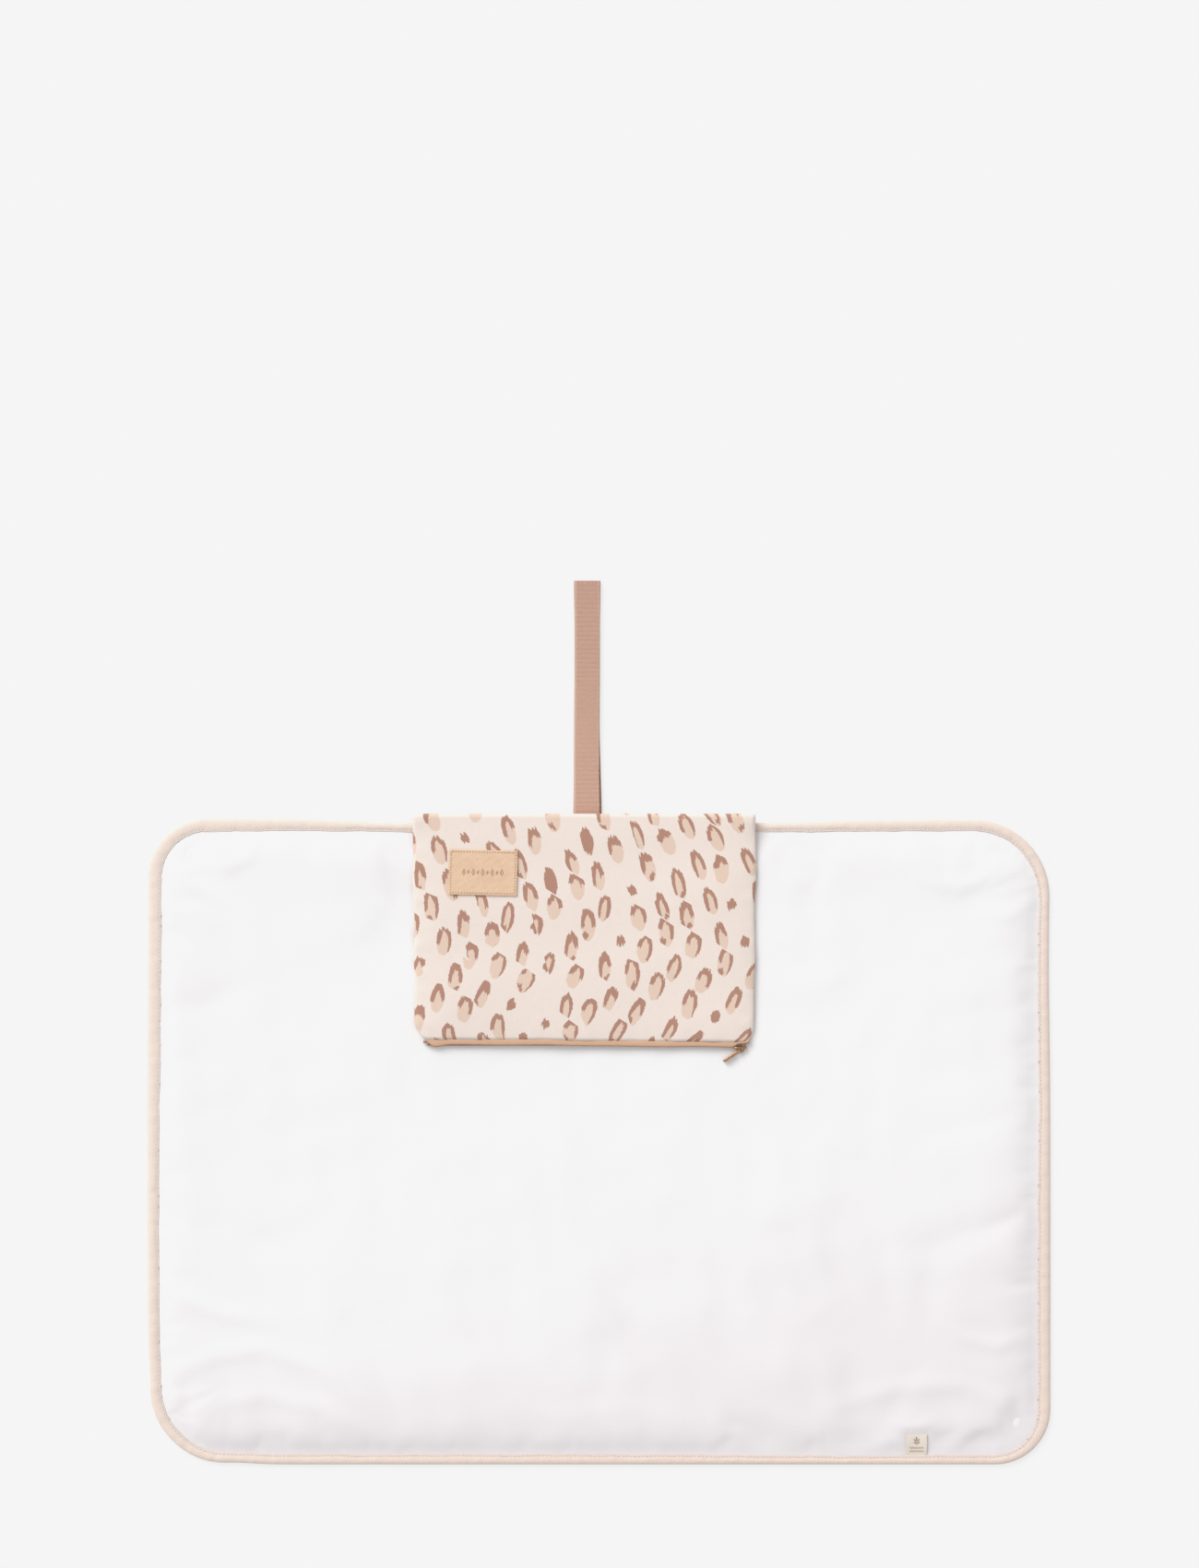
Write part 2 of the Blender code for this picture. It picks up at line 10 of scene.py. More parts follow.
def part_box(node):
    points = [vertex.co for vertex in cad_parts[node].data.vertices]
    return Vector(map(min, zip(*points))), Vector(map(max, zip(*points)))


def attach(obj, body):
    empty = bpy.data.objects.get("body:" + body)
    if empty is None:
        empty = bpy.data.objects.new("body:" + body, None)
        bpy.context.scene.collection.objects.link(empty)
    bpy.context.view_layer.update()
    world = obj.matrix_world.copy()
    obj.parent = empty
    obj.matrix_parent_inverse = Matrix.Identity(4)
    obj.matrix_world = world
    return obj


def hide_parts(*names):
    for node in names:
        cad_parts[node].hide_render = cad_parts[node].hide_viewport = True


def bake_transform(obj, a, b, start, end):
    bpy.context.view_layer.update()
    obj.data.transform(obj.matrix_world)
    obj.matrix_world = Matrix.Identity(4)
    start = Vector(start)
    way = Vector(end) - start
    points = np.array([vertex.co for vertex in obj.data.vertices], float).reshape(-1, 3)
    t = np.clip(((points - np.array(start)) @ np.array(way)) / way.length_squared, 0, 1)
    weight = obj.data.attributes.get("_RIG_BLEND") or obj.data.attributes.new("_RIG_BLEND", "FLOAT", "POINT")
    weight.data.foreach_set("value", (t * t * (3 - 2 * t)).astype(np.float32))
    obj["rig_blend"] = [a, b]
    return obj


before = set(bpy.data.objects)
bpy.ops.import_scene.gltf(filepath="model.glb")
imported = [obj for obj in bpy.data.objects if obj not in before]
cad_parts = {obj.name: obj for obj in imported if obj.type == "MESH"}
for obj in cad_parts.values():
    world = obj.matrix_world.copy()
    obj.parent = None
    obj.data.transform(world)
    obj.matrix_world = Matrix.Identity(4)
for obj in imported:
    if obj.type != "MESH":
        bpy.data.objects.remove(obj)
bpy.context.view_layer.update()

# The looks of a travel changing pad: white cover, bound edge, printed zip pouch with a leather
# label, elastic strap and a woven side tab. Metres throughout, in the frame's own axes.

studio = {
    "lightLevel": 1.125,    # how bright a white card on the floor comes out, before the view's curve
    "skyTop": 0.755,
    "skyHorizon": 0.575,
    "sunStrength": 2.30,
    "sunSoftness": 36.0,    # degrees
    "sunFrom": (-0.62, 0.80, 0.68),
    "viewHeight": 1.218,
    "viewY": 0.2776,
    "lens": 85.0,
    "sensor": 36.0,
    "floorSize": 16.0,
    "floorGap": 0.0006,
    "toneCurve": ((0.5, 0.5), (0.70, 0.701), (0.80, 0.808), (0.86, 0.872), (0.905, 0.9085)),
}

collection = bpy.data.collections.new("changingPad")
bpy.context.scene.collection.children.link(collection)


def smooth(t):
    t = np.clip(t, 0.0, 1.0)
    return t * t * (3 - 2 * t)


def wander(s, wavelengths, seed):
    # a line of gentle random waves along s, between about -1 and 1, the same each time
    rng = np.random.default_rng(seed)
    total = np.zeros_like(np.asarray(s, float))
    for length in wavelengths:
        total += np.sin(2 * np.pi * s / length + rng.uniform(0, 2 * np.pi))
    return total / math.sqrt(len(wavelengths))


def ripple(x, y, size, seed, count=7):
    # a patch of soft random waves over x and y, about size across
    rng = np.random.default_rng(seed)
    total = np.zeros_like(np.asarray(x, float))
    for turn in rng.uniform(0, np.pi, count):
        length = size * rng.uniform(0.7, 1.6)
        along = (x * math.cos(turn) + y * math.sin(turn)) / length
        total += np.sin(2 * np.pi * along + rng.uniform(0, 2 * np.pi))
    return total / math.sqrt(count)


def makeObject(name, points, faces, material=None, uv=None, smoothShade=True):
    mesh = bpy.data.meshes.new(name)
    mesh.from_pydata([tuple(p) for p in points], [], [tuple(int(i) for i in f) for f in faces])
    if uv is not None:
        layer = mesh.uv_layers.new(name="cloth")
        corners = np.zeros(len(mesh.loops), np.int32)
        mesh.loops.foreach_get("vertex_index", corners)
        layer.data.foreach_set("uv", np.asarray(uv, np.float32)[corners].ravel())
    if smoothShade:
        mesh.shade_smooth()
    if material:
        mesh.materials.append(material)
    made = bpy.data.objects.new(name, mesh)
    collection.objects.link(made)
    return made


def positions(mesh):
    flat = np.zeros(len(mesh.vertices) * 3, np.float32)
    mesh.vertices.foreach_get("co", flat)
    return flat.reshape(-1, 3).astype(float)


def setPositions(mesh, points):
    mesh.vertices.foreach_set("co", np.asarray(points, np.float32).ravel())
    mesh.update()


def gridFaces(rows, columns, wrap=False):
    # quads of a grid whose points run along each row; wrap joins the last row to the first
    faces = []
    for r in range(rows if wrap else rows - 1):
        here = r * columns
        after = ((r + 1) % rows) * columns
        faces += [(here + c, here + c + 1, after + c + 1, after + c) for c in range(columns - 1)]
    return faces


def settled(thing, name):
    # the evaluated mesh of an object as a plain piece, with its modifiers gone
    graph = bpy.context.evaluated_depsgraph_get()
    mesh = bpy.data.meshes.new_from_object(thing.evaluated_get(graph))
    mesh.name = name
    made = bpy.data.objects.new(name, mesh)
    collection.objects.link(made)
    bpy.data.objects.remove(thing, do_unlink=True)
    return made


def thicken(thing, depth):
    # gives an open sheet a second side, depth below it, and a rim
    mesh = thing.data
    points = positions(mesh)
    normals = np.zeros(len(points) * 3, np.float32)
    mesh.vertex_normals.foreach_get("vector", normals)
    normals = normals.reshape(-1, 3)
    work = bmesh.new()
    work.from_mesh(mesh)
    work.verts.ensure_lookup_table()
    count = len(work.verts)
    uvLayer = work.loops.layers.uv.active
    rim = [e for e in work.edges if e.is_boundary]
    rimCorners = {e: (e.link_loops[0].vert, e.link_loops[0].link_loop_next.vert) for e in rim}
    under = [work.verts.new(points[i] - normals[i] * depth) for i in range(count)]
    uvAt = {}
    for face in list(work.faces):
        for corner in face.loops:
            uvAt[corner.vert.index] = corner[uvLayer].uv.copy()
        copy = work.faces.new([under[v.index] for v in reversed(face.verts)])
        copy.smooth = True
        copy.material_index = face.material_index
        for corner, vert in zip(copy.loops, reversed(face.verts)):
            corner[uvLayer].uv = uvAt[vert.index]
    for first, second in rimCorners.values():
        side = work.faces.new([second, first, under[first.index], under[second.index]])
        side.smooth = True
        for corner, vert in zip(side.loops, (second, first, first, second)):
            corner[uvLayer].uv = uvAt[vert.index]
    work.to_mesh(mesh)
    work.free()
    mesh.update()


def halves(thing, names, close=True):
    # two pieces, left and right of the mat's middle line in the flat cloth, with the whole one's normals
    mesh = thing.data
    normals = np.zeros(len(mesh.vertices) * 3, np.float32)
    mesh.vertex_normals.foreach_get("vector", normals)
    normals = normals.reshape(-1, 3)
    made = []
    for name, side in zip(names, (-1, 1)):
        work = bmesh.new()
        work.from_mesh(mesh)
        source = work.verts.layers.int.new("source")
        for vert in work.verts:
            vert[source] = vert.index
        uvLayer = work.loops.layers.uv.active
        if uvLayer:
            middle = {f: sum(c[uvLayer].uv.x for c in f.loops) / len(f.loops) for f in work.faces}
        else:
            middle = {f: f.calc_center_median().x for f in work.faces}
        gone = [f for f in work.faces if (middle[f] - mat["splitX"]) * side < 0]
        bmesh.ops.delete(work, geom=gone, context="FACES")
        if close:
            bmesh.ops.holes_fill(work, edges=[e for e in work.edges if e.is_boundary], sides=0)
        part = bpy.data.meshes.new(name)
        work.to_mesh(part)
        work.free()
        index = np.zeros(len(part.vertices), np.int32)
        part.attributes["source"].data.foreach_get("value", index)
        part.attributes.remove(part.attributes["source"])
        part.materials.clear()
        for material in mesh.materials:
            part.materials.append(material)
        part.shade_smooth()
        part.normals_split_custom_set_from_vertices([tuple(n) for n in normals[index]])
        piece = bpy.data.objects.new(name, part)
        collection.objects.link(piece)
        made.append(piece)
    bpy.data.objects.remove(thing, do_unlink=True)
    return made


class Wire:
    # a socket that can be worked with like a number
    def __init__(self, tree, socket):
        self.tree = tree
        self.socket = socket

    def __add__(self, other):
        return maths(self.tree, "ADD", self, other)

    __radd__ = __add__

    def __sub__(self, other):
        return maths(self.tree, "SUBTRACT", self, other)

    def __rsub__(self, other):
        return maths(self.tree, "SUBTRACT", other, self)

    def __mul__(self, other):
        return maths(self.tree, "MULTIPLY", self, other)

    __rmul__ = __mul__

    def __truediv__(self, other):
        return maths(self.tree, "DIVIDE", self, other)


def node(tree, kind, inputs=(), **settings):
    made = tree.nodes.new(kind)
    for key, value in settings.items():
        setattr(made, key, value)
    for socket, value in dict(inputs).items():
        plug(tree, value, made.inputs[socket])
    return made


def plug(tree, value, socket):
    if isinstance(value, Wire):
        tree.links.new(value.socket, socket)
    elif isinstance(value, bpy.types.NodeSocket):
        tree.links.new(value, socket)
    else:
        socket.default_value = value


def maths(tree, operation, a, b=0.0, c=0.0, clamp=False):
    made = node(tree, "ShaderNodeMath", {0: a, 1: b, 2: c}, operation=operation, use_clamp=clamp)
    return Wire(tree, made.outputs[0])


def least(a, b):
    return maths(a.tree, "MINIMUM", a, b)


def most(a, b):
    return maths(a.tree, "MAXIMUM", a, b)


def ramp(value, low, high, softly=True):
    kind = "SMOOTHSTEP" if softly else "LINEAR"
    made = node(value.tree, "ShaderNodeMapRange", {0: value, 1: low, 2: high}, interpolation_type=kind)
    return Wire(value.tree, made.outputs[0])


def blendColour(factor, a, b):
    tree = factor.tree
    made = node(tree, "ShaderNodeMix", data_type="RGBA")
    plug(tree, factor, made.inputs["Factor"])
    plug(tree, a, [s for s in made.inputs if s.name == "A" and s.type == "RGBA"][0])
    plug(tree, b, [s for s in made.inputs if s.name == "B" and s.type == "RGBA"][0])
    return Wire(tree, [s for s in made.outputs if s.type == "RGBA"][0])


def scaleColour(colour, factor):
    tree = factor.tree
    made = node(tree, "ShaderNodeVectorMath", {0: colour, "Scale": factor}, operation="SCALE")
    return Wire(tree, made.outputs[0])


def join(tree, x, y, z=0.0):
    return Wire(tree, node(tree, "ShaderNodeCombineXYZ", {0: x, 1: y, 2: z}).outputs[0])


def noise(tree, vector, scale, detail=2.0, roughness=0.5):
    inputs = {"Vector": vector, "Scale": scale, "Detail": detail, "Roughness": roughness}
    made = node(tree, "ShaderNodeTexNoise", inputs, noise_dimensions="3D")
    return Wire(tree, made.outputs[0])


def dye(red, green, blue, share=1.0):
    # the colour that a matt cloth needs to come out as this one under the studio's light
    levels = []
    for level in (red, green, blue):
        level = level / 255
        level = level / 12.92 if level <= 0.04045 else ((level + 0.055) / 1.055) ** 2.4
        levels.append(level / studio["lightLevel"] * share)
    return (*levels, 1.0)


def newMaterial(name, roughness, sheen=0.0, specular=0.3, metallic=0.0):
    material = bpy.data.materials.new(name)
    material.use_nodes = True
    tree = material.node_tree
    shader = tree.nodes["Principled BSDF"]
    shader.inputs["Roughness"].default_value = roughness
    shader.inputs["Specular IOR Level"].default_value = specular
    shader.inputs["Metallic"].default_value = metallic
    shader.inputs["Sheen Weight"].default_value = sheen
    shader.inputs["Sheen Roughness"].default_value = 0.45
    return material, tree, shader


def clothPlace(tree):
    # where a point lies on the flat cloth, in metres
    spot = node(tree, "ShaderNodeUVMap", uv_map="cloth")
    parts = node(tree, "ShaderNodeSeparateXYZ", {0: spot.outputs[0]})
    return Wire(tree, parts.outputs[0]), Wire(tree, parts.outputs[1])


def bump(tree, height, distance, strength=1.0, under=None):
    inputs = {"Height": height, "Distance": distance, "Strength": strength}
    made = node(tree, "ShaderNodeBump", inputs)
    if under is not None:
        plug(tree, under, made.inputs["Normal"])
    return Wire(tree, made.outputs[0])


def weave(tree, u, v, pitch):
    # threads over and under each other, and slubs where a thread runs thicker
    turn = math.pi / pitch
    over = maths(tree, "SINE", u * turn) * maths(tree, "SINE", v * turn)
    slubU = noise(tree, join(tree, u * 1500.0, v * 110.0), 1.0, 3.0)
    slubV = noise(tree, join(tree, u * 110.0, v * 1500.0), 1.0, 3.0)
    return over, slubU + slubV - 1.0


def clothShader(name, colour, pitch=0.0006, roughness=0.85, sheen=0.25, mottle=0.05, depth=0.00006):
    material, tree, shader = newMaterial(name, roughness, sheen, 0.2)
    u, v = clothPlace(tree)
    over, slub = weave(tree, u, v, pitch)
    tone = slub * mottle + 1.0
    base = node(tree, "ShaderNodeRGB")
    base.outputs[0].default_value = colour
    plug(tree, scaleColour(base.outputs[0], tone), shader.inputs["Base Color"])
    plug(tree, bump(tree, over * 0.4 + slub, depth), shader.inputs["Normal"])
    return material


printLook = {
    "cellWide": 0.0196,
    "cellLong": 0.0268,
    "shear": 0.42,
    "leaning": 0.30,        # how far its columns lean
    "jitter": 0.34,
    "halfWide": 0.0057,
    "halfLong": 0.0116,
    "base": (238, 225, 216),
    "brush": (181, 137, 119),
    "wash": (229, 204, 186),
    "leanSpan": 0.40,
}


def printedCloth():
    # cream cloth printed with brushed animal spots: a dark horseshoe round a pale wash
    look = printLook
    material, tree, shader = newMaterial("printedCloth", 0.82, 0.25, 0.2)
    u, v = clothPlace(tree)
    x = (u + v * look["leaning"]) / look["cellWide"]
    y = v / look["cellLong"] + x * look["shear"]
    cells = node(tree, "ShaderNodeTexVoronoi", {"Vector": join(tree, x, y), "Scale": 1.0,
                 "Randomness": look["jitter"]}, voronoi_dimensions="2D", feature="F1")
    edges = node(tree, "ShaderNodeTexVoronoi", {"Vector": join(tree, x, y), "Scale": 1.0,
                 "Randomness": look["jitter"]}, voronoi_dimensions="2D", feature="DISTANCE_TO_EDGE")
    centre = node(tree, "ShaderNodeSeparateXYZ", {0: cells.outputs["Position"]})
    chance = node(tree, "ShaderNodeSeparateColor", {0: cells.outputs["Color"]})
    more = node(tree, "ShaderNodeTexWhiteNoise", {0: cells.outputs["Position"]}, noise_dimensions="2D")
    luck = node(tree, "ShaderNodeSeparateColor", {0: more.outputs["Color"]})
    first, second, third = (Wire(tree, chance.outputs[i]) for i in range(3))
    fourth, fifth, sixth = (Wire(tree, luck.outputs[i]) for i in range(3))
    stepX = x - Wire(tree, centre.outputs[0])
    stepY = y - Wire(tree, centre.outputs[1])
    up = (stepY - stepX * look["shear"]) * look["cellLong"]
    right = stepX * look["cellWide"] - up * look["leaning"]

    drift = maths(tree, "SINE", (v - 0.165) * (2 * math.pi / look["leanSpan"]))
    lean = drift * 0.40 + (first - 0.5) * 0.50          # radians
    cosine = maths(tree, "COSINE", lean)
    sine = maths(tree, "SINE", lean)
    across = right * cosine + up * sine
    along = up * cosine - right * sine

    small = ramp(fourth, 0.87, 0.871)                   # a few are only blobs
    solid = most(ramp(fifth, 0.955, 0.956), small)
    wide = (second * 0.30 + 0.82) * look["halfWide"] * (1.0 - small * 0.38)
    long = (third * 0.26 + 0.84) * look["halfLong"] * (1.0 - small * 0.62)

    bristle = noise(tree, join(tree, across * 720.0, along * 80.0, first * 40.0), 1.0, 2.0) - 0.5
    fray = noise(tree, join(tree, u * 1000.0, v * 1000.0), 0.62, 3.0, 0.6) - 0.5
    b = (along + bristle * 0.0105 + fray * 0.0010) / long
    a = (across + fray * 0.0017) / wide
    outer = maths(tree, "SQRT", a * a + b * b)

    sag = b + 0.40 + (sixth - 0.5) * 0.34
    thin = 0.42 + second * 0.15
    coreA = a + (fourth - 0.5) * 0.16
    core = maths(tree, "SQRT", (coreA / thin) * (coreA / thin) + (sag / 0.90) * (sag / 0.90))
    washA = a + (fifth - 0.5) * 0.26
    washB = (along + fray * 0.0010) / long + 0.13
    wash = maths(tree, "SQRT", (washA / 0.92) * (washA / 0.92) + washB * washB * 1.02)

    leftEnd = second * 1.25 - 1.05                      # how far down each side's stroke runs
    rightEnd = sixth * 1.35 - 1.05
    sideways = ramp(a, -0.1, 0.1)
    strokeEnd = leftEnd + (rightEnd - leftEnd) * sideways
    runs = ramp(b - strokeEnd, -0.02, 0.04)
    hook = ramp(third, 0.55, 0.56)
    hookSide = ramp(first, 0.5, 0.51) * 0.8 - 0.4
    hookGap = maths(tree, "SQRT", (a - hookSide) * (a - hookSide) * 3.2 + (b + 0.80) * (b + 0.80) * 9.0)
    hookMark = hook * (1.0 - ramp(hookGap, 0.86, 0.96)) * (1.0 - small)

    inside = 1.0 - ramp(outer, 0.96, 1.02)
    ring = inside * most(ramp(core, 0.97, 1.05), solid) * most(runs, solid)
    clear = ramp(Wire(tree, edges.outputs["Distance"]), 0.018, 0.030)
    ink = most(ring, hookMark * inside) * clear
    tint = (1.0 - ramp(wash, 0.97, 1.02)) * (1.0 - small) * clear

    over, slub = weave(tree, u, v, 0.0006)
    soak = noise(tree, join(tree, u * 1000.0, v * 1000.0), 1.3, 2.0) - 0.5
    ink = ink * (1.0 + soak * 0.16 - slub * 0.15)
    colour = blendColour(tint * 0.98, dye(*look["base"]), dye(*look["wash"]))
    colour = blendColour(ink, colour, dye(*look["brush"]))
    tone = slub * 0.075 + 1.0
    plug(tree, scaleColour(colour, tone), shader.inputs["Base Color"])
    plug(tree, bump(tree, over * 0.4 + slub, 0.00009), shader.inputs["Normal"])
    return material


def coverCloth():
    # white coated cloth: satin, close woven, with painted shade: a faint lilac darkening towards the lower right
    # and round its rim
    material, tree, shader = newMaterial("coatedCloth", 0.62, 0.10, 0.16)
    u, v = clothPlace(tree)
    over, slub = weave(tree, u, v, 0.0004)
    place = join(tree, u, v)
    cloud = noise(tree, place, 7.0, 3.0, 0.6)
    # painted shade: darker towards the bottom and the right, where the light falls off
    low = ramp(u * 0.35 - v * 1.5 + (cloud - 0.5) * 0.35, 0.02, 0.42)
    inU = maths(tree, "SUBTRACT", mat["halfLong"], maths(tree, "ABSOLUTE", u))
    inV = maths(tree, "SUBTRACT", mat["halfDeep"], maths(tree, "ABSOLUTE", v))
    # painted shade: a darker band round the rim
    rim = 1.0 - ramp(least(inU, inV) + (cloud - 0.5) * 0.06, 0.01, 0.085)
    paintedShade = least(low + rim * 0.42, 1.0)
    colour = blendColour(paintedShade, dye(245, 244, 244), dye(236, 231, 233))
    plug(tree, scaleColour(colour, slub * 0.008 + 1.0), shader.inputs["Base Color"])
    crinkle = noise(tree, place, 240.0, 4.0, 0.6)
    fine = bump(tree, over * 0.3 + slub, 0.00002)
    plug(tree, bump(tree, crinkle, 0.00012, 0.6, fine), shader.inputs["Normal"])
    plug(tree, ramp(crinkle, 0.2, 0.8) * 0.10 + 0.56, shader.inputs["Roughness"])
    return material


def bindingCloth():
    # folded cream tape; v runs along it, and bits of the printed cloth show at its inner lip; shade is painted
    # into its seam groove, along its lip and towards the right and bottom
    material, tree, shader = newMaterial("bindingCloth", 0.86, 0.3, 0.2)
    u, v = clothPlace(tree)
    spot = node(tree, "ShaderNodeUVMap", uv_map="tape")
    parts = node(tree, "ShaderNodeSeparateXYZ", {0: spot.outputs[0]})
    lip = Wire(tree, parts.outputs[0])                  # metres from the tape's inner edge
    run = Wire(tree, parts.outputs[1])                  # metres along it
    over, slub = weave(tree, lip, run, 0.0005)
    # painted shade: a dark line in the seam's groove and another along the tape's inner lip
    seamGrooveShade = 1.0 - ramp(maths(tree, "ABSOLUTE", lip - binding["seamLine"]), 0.0002, 0.0007)
    edge = 1.0 - ramp(lip, 0.0001, 0.0005)
    tone = slub * 0.06 + 1.0 - seamGrooveShade * 0.16 - edge * 0.16
    # painted shade: the tape is drawn darker towards the right and the bottom, away from the light
    colour = blendColour(ramp(u * 0.7 - v, -0.35, 0.35), dye(238, 222, 211), dye(232, 214, 203))
    specks = noise(tree, join(tree, run * 1000.0, 0.0), 0.23, 2.0)
    sides = 1.0 - ramp(mat["halfLong"] - maths(tree, "ABSOLUTE", u), 0.012, 0.03)
    peek = ramp(specks, 0.56, 0.60) * (1.0 - ramp(lip, 0.0003, 0.0008)) * (sides * 0.9 + 0.1)
    colour = blendColour(peek, colour, dye(186, 146, 130))
    plug(tree, scaleColour(colour, tone), shader.inputs["Base Color"])
    drag = noise(tree, join(tree, lip * 220.0, run * 260.0 + lip * 300.0), 1.0, 2.0)
    fine = bump(tree, over * 0.4 + slub, 0.00007)
    plug(tree, bump(tree, drag, 0.00035, 0.7, fine), shader.inputs["Normal"])
    return material


def zipTapeCloth():
    # tan twill tape, painted darker along its rolled edge as shade, with the coil's stitching showing as fine
    # ticks
    material, tree, shader = newMaterial("zipTapeCloth", 0.8, 0.25, 0.2)
    u, v = clothPlace(tree)
    over, slub = weave(tree, u, v, 0.0005)
    # painted shade: the tape's rounded lower edge and the coil's shadow are drawn darker
    rolledEdgeShade = ramp(v, 0.0038, 0.0050)
    ticks = maths(tree, "SINE", u * (2 * math.pi / 0.00125)) * (1.0 - rolledEdgeShade) * 0.05
    colour = blendColour(rolledEdgeShade, dye(213, 172, 143), dye(186, 138, 110))
    plug(tree, scaleColour(colour, slub * 0.08 + ticks + 1.0), shader.inputs["Base Color"])
    plug(tree, bump(tree, over * 0.4 + slub, 0.00008), shader.inputs["Normal"])
    return material


def elasticCloth():
    material, tree, shader = newMaterial("elasticBand", 0.72, 0.3, 0.25)
    u, v = clothPlace(tree)
    across = maths(tree, "SINE", u * (2 * math.pi / 0.0011))
    knit = maths(tree, "SINE", v * (2 * math.pi / 0.0009))
    fuzz = noise(tree, join(tree, u * 1000.0, v * 1000.0), 0.9, 3.0)
    fade = ramp(v, 0.25, 0.45)
    colour = blendColour(fade, dye(212, 171, 151), dye(204, 163, 144))
    fromMiddle = maths(tree, "ABSOLUTE", u - strapLook["x"])
    selvage = ramp(fromMiddle, 0.0082, 0.0088) * (1.0 - ramp(fromMiddle, 0.0092, 0.0097))
    colour = blendColour(selvage * 0.75, colour, dye(226, 190, 170))
    under = ramp(v, 0.4365, 0.4375)                     # the lower layer, seen past the edge, painted darker as the shade it lies in
    colour = blendColour(under * 0.85, colour, dye(150, 113, 96))
    tone = across * 0.025 + knit * 0.035 + fuzz * 0.10 + 0.95
    plug(tree, scaleColour(colour, tone), shader.inputs["Base Color"])
    plug(tree, bump(tree, across * 0.5 + knit + fuzz, 0.00010), shader.inputs["Normal"])
    return material


def leather():
    # vegetable-tanned leather: fine pores, soft cloudy tone, darker where it is pressed; the dark round its
    # sewing holes is painted shade
    material, tree, shader = newMaterial("tannedLeather", 0.55, 0.05, 0.35)
    u, v = clothPlace(tree)
    place = join(tree, u * 1000.0, v * 1000.0)
    pores = node(tree, "ShaderNodeTexVoronoi", {"Vector": place, "Scale": 1.7}, voronoi_dimensions="2D")
    grain = Wire(tree, pores.outputs["Distance"])
    cloud = noise(tree, place, 0.09, 4.0, 0.65)
    speck = noise(tree, place, 1.1, 3.0, 0.6)
    colour = blendColour(ramp(cloud, 0.3, 0.7), dye(232, 200, 170), dye(226, 192, 161))
    pressed = node(tree, "ShaderNodeAttribute", attribute_name="pressed")
    colour = blendColour(least(Wire(tree, pressed.outputs["Fac"]) * 0.75, 1.0), colour, dye(182, 141, 110))
    plug(tree, scaleColour(colour, speck * 0.10 + 0.95), shader.inputs["Base Color"])
    plug(tree, speck * 0.15 + 0.45, shader.inputs["Roughness"])
    plug(tree, bump(tree, grain * 0.6 + speck, 0.00008), shader.inputs["Normal"])
    return material


def metal():
    # brushed light bronze
    material, tree, shader = newMaterial("bronzeZip", 0.28, 0.0, 0.5, 1.0)
    spot = node(tree, "ShaderNodeTexCoord")
    stretch = node(tree, "ShaderNodeMapping", {"Vector": spot.outputs["Object"],
                   "Scale": (900.0, 2600.0, 2600.0)})
    streak = Wire(tree, node(tree, "ShaderNodeTexNoise", {"Vector": stretch.outputs[0], "Scale": 1.0,
                  "Detail": 3.0}).outputs[0])
    colour = blendColour(streak, dye(206, 160, 118), dye(176, 130, 92))
    plug(tree, colour, shader.inputs["Base Color"])
    plug(tree, streak * 0.16 + 0.20, shader.inputs["Roughness"])
    plug(tree, bump(tree, streak, 0.00003), shader.inputs["Normal"])
    return material


def thread(name, colour):
    # twisted sewing thread, which reads its own place
    material, tree, shader = newMaterial(name, 0.7, 0.3, 0.25)
    spot = node(tree, "ShaderNodeTexCoord")
    parts = node(tree, "ShaderNodeSeparateXYZ", {0: spot.outputs["Object"]})
    slope = Wire(tree, parts.outputs[0]) + Wire(tree, parts.outputs[1]) + Wire(tree, parts.outputs[2])
    twist = maths(tree, "SINE", slope * (2 * math.pi / 0.0005))
    base = node(tree, "ShaderNodeRGB")
    base.outputs[0].default_value = colour
    plug(tree, scaleColour(base.outputs[0], twist * 0.06 + 0.97), shader.inputs["Base Color"])
    plug(tree, bump(tree, twist, 0.00004), shader.inputs["Normal"])
    return material


def waddingFluff():
    material, tree, shader = newMaterial("wadding", 0.95, 0.4, 0.1)
    u, v = clothPlace(tree)
    fluff = noise(tree, join(tree, u * 1000.0, v * 1000.0), 0.4, 5.0, 0.7)
    colour = blendColour(fluff, dye(238, 238, 236), dye(250, 250, 250))
    plug(tree, colour, shader.inputs["Base Color"])
    plug(tree, bump(tree, fluff, 0.0006), shader.inputs["Normal"])
    return material


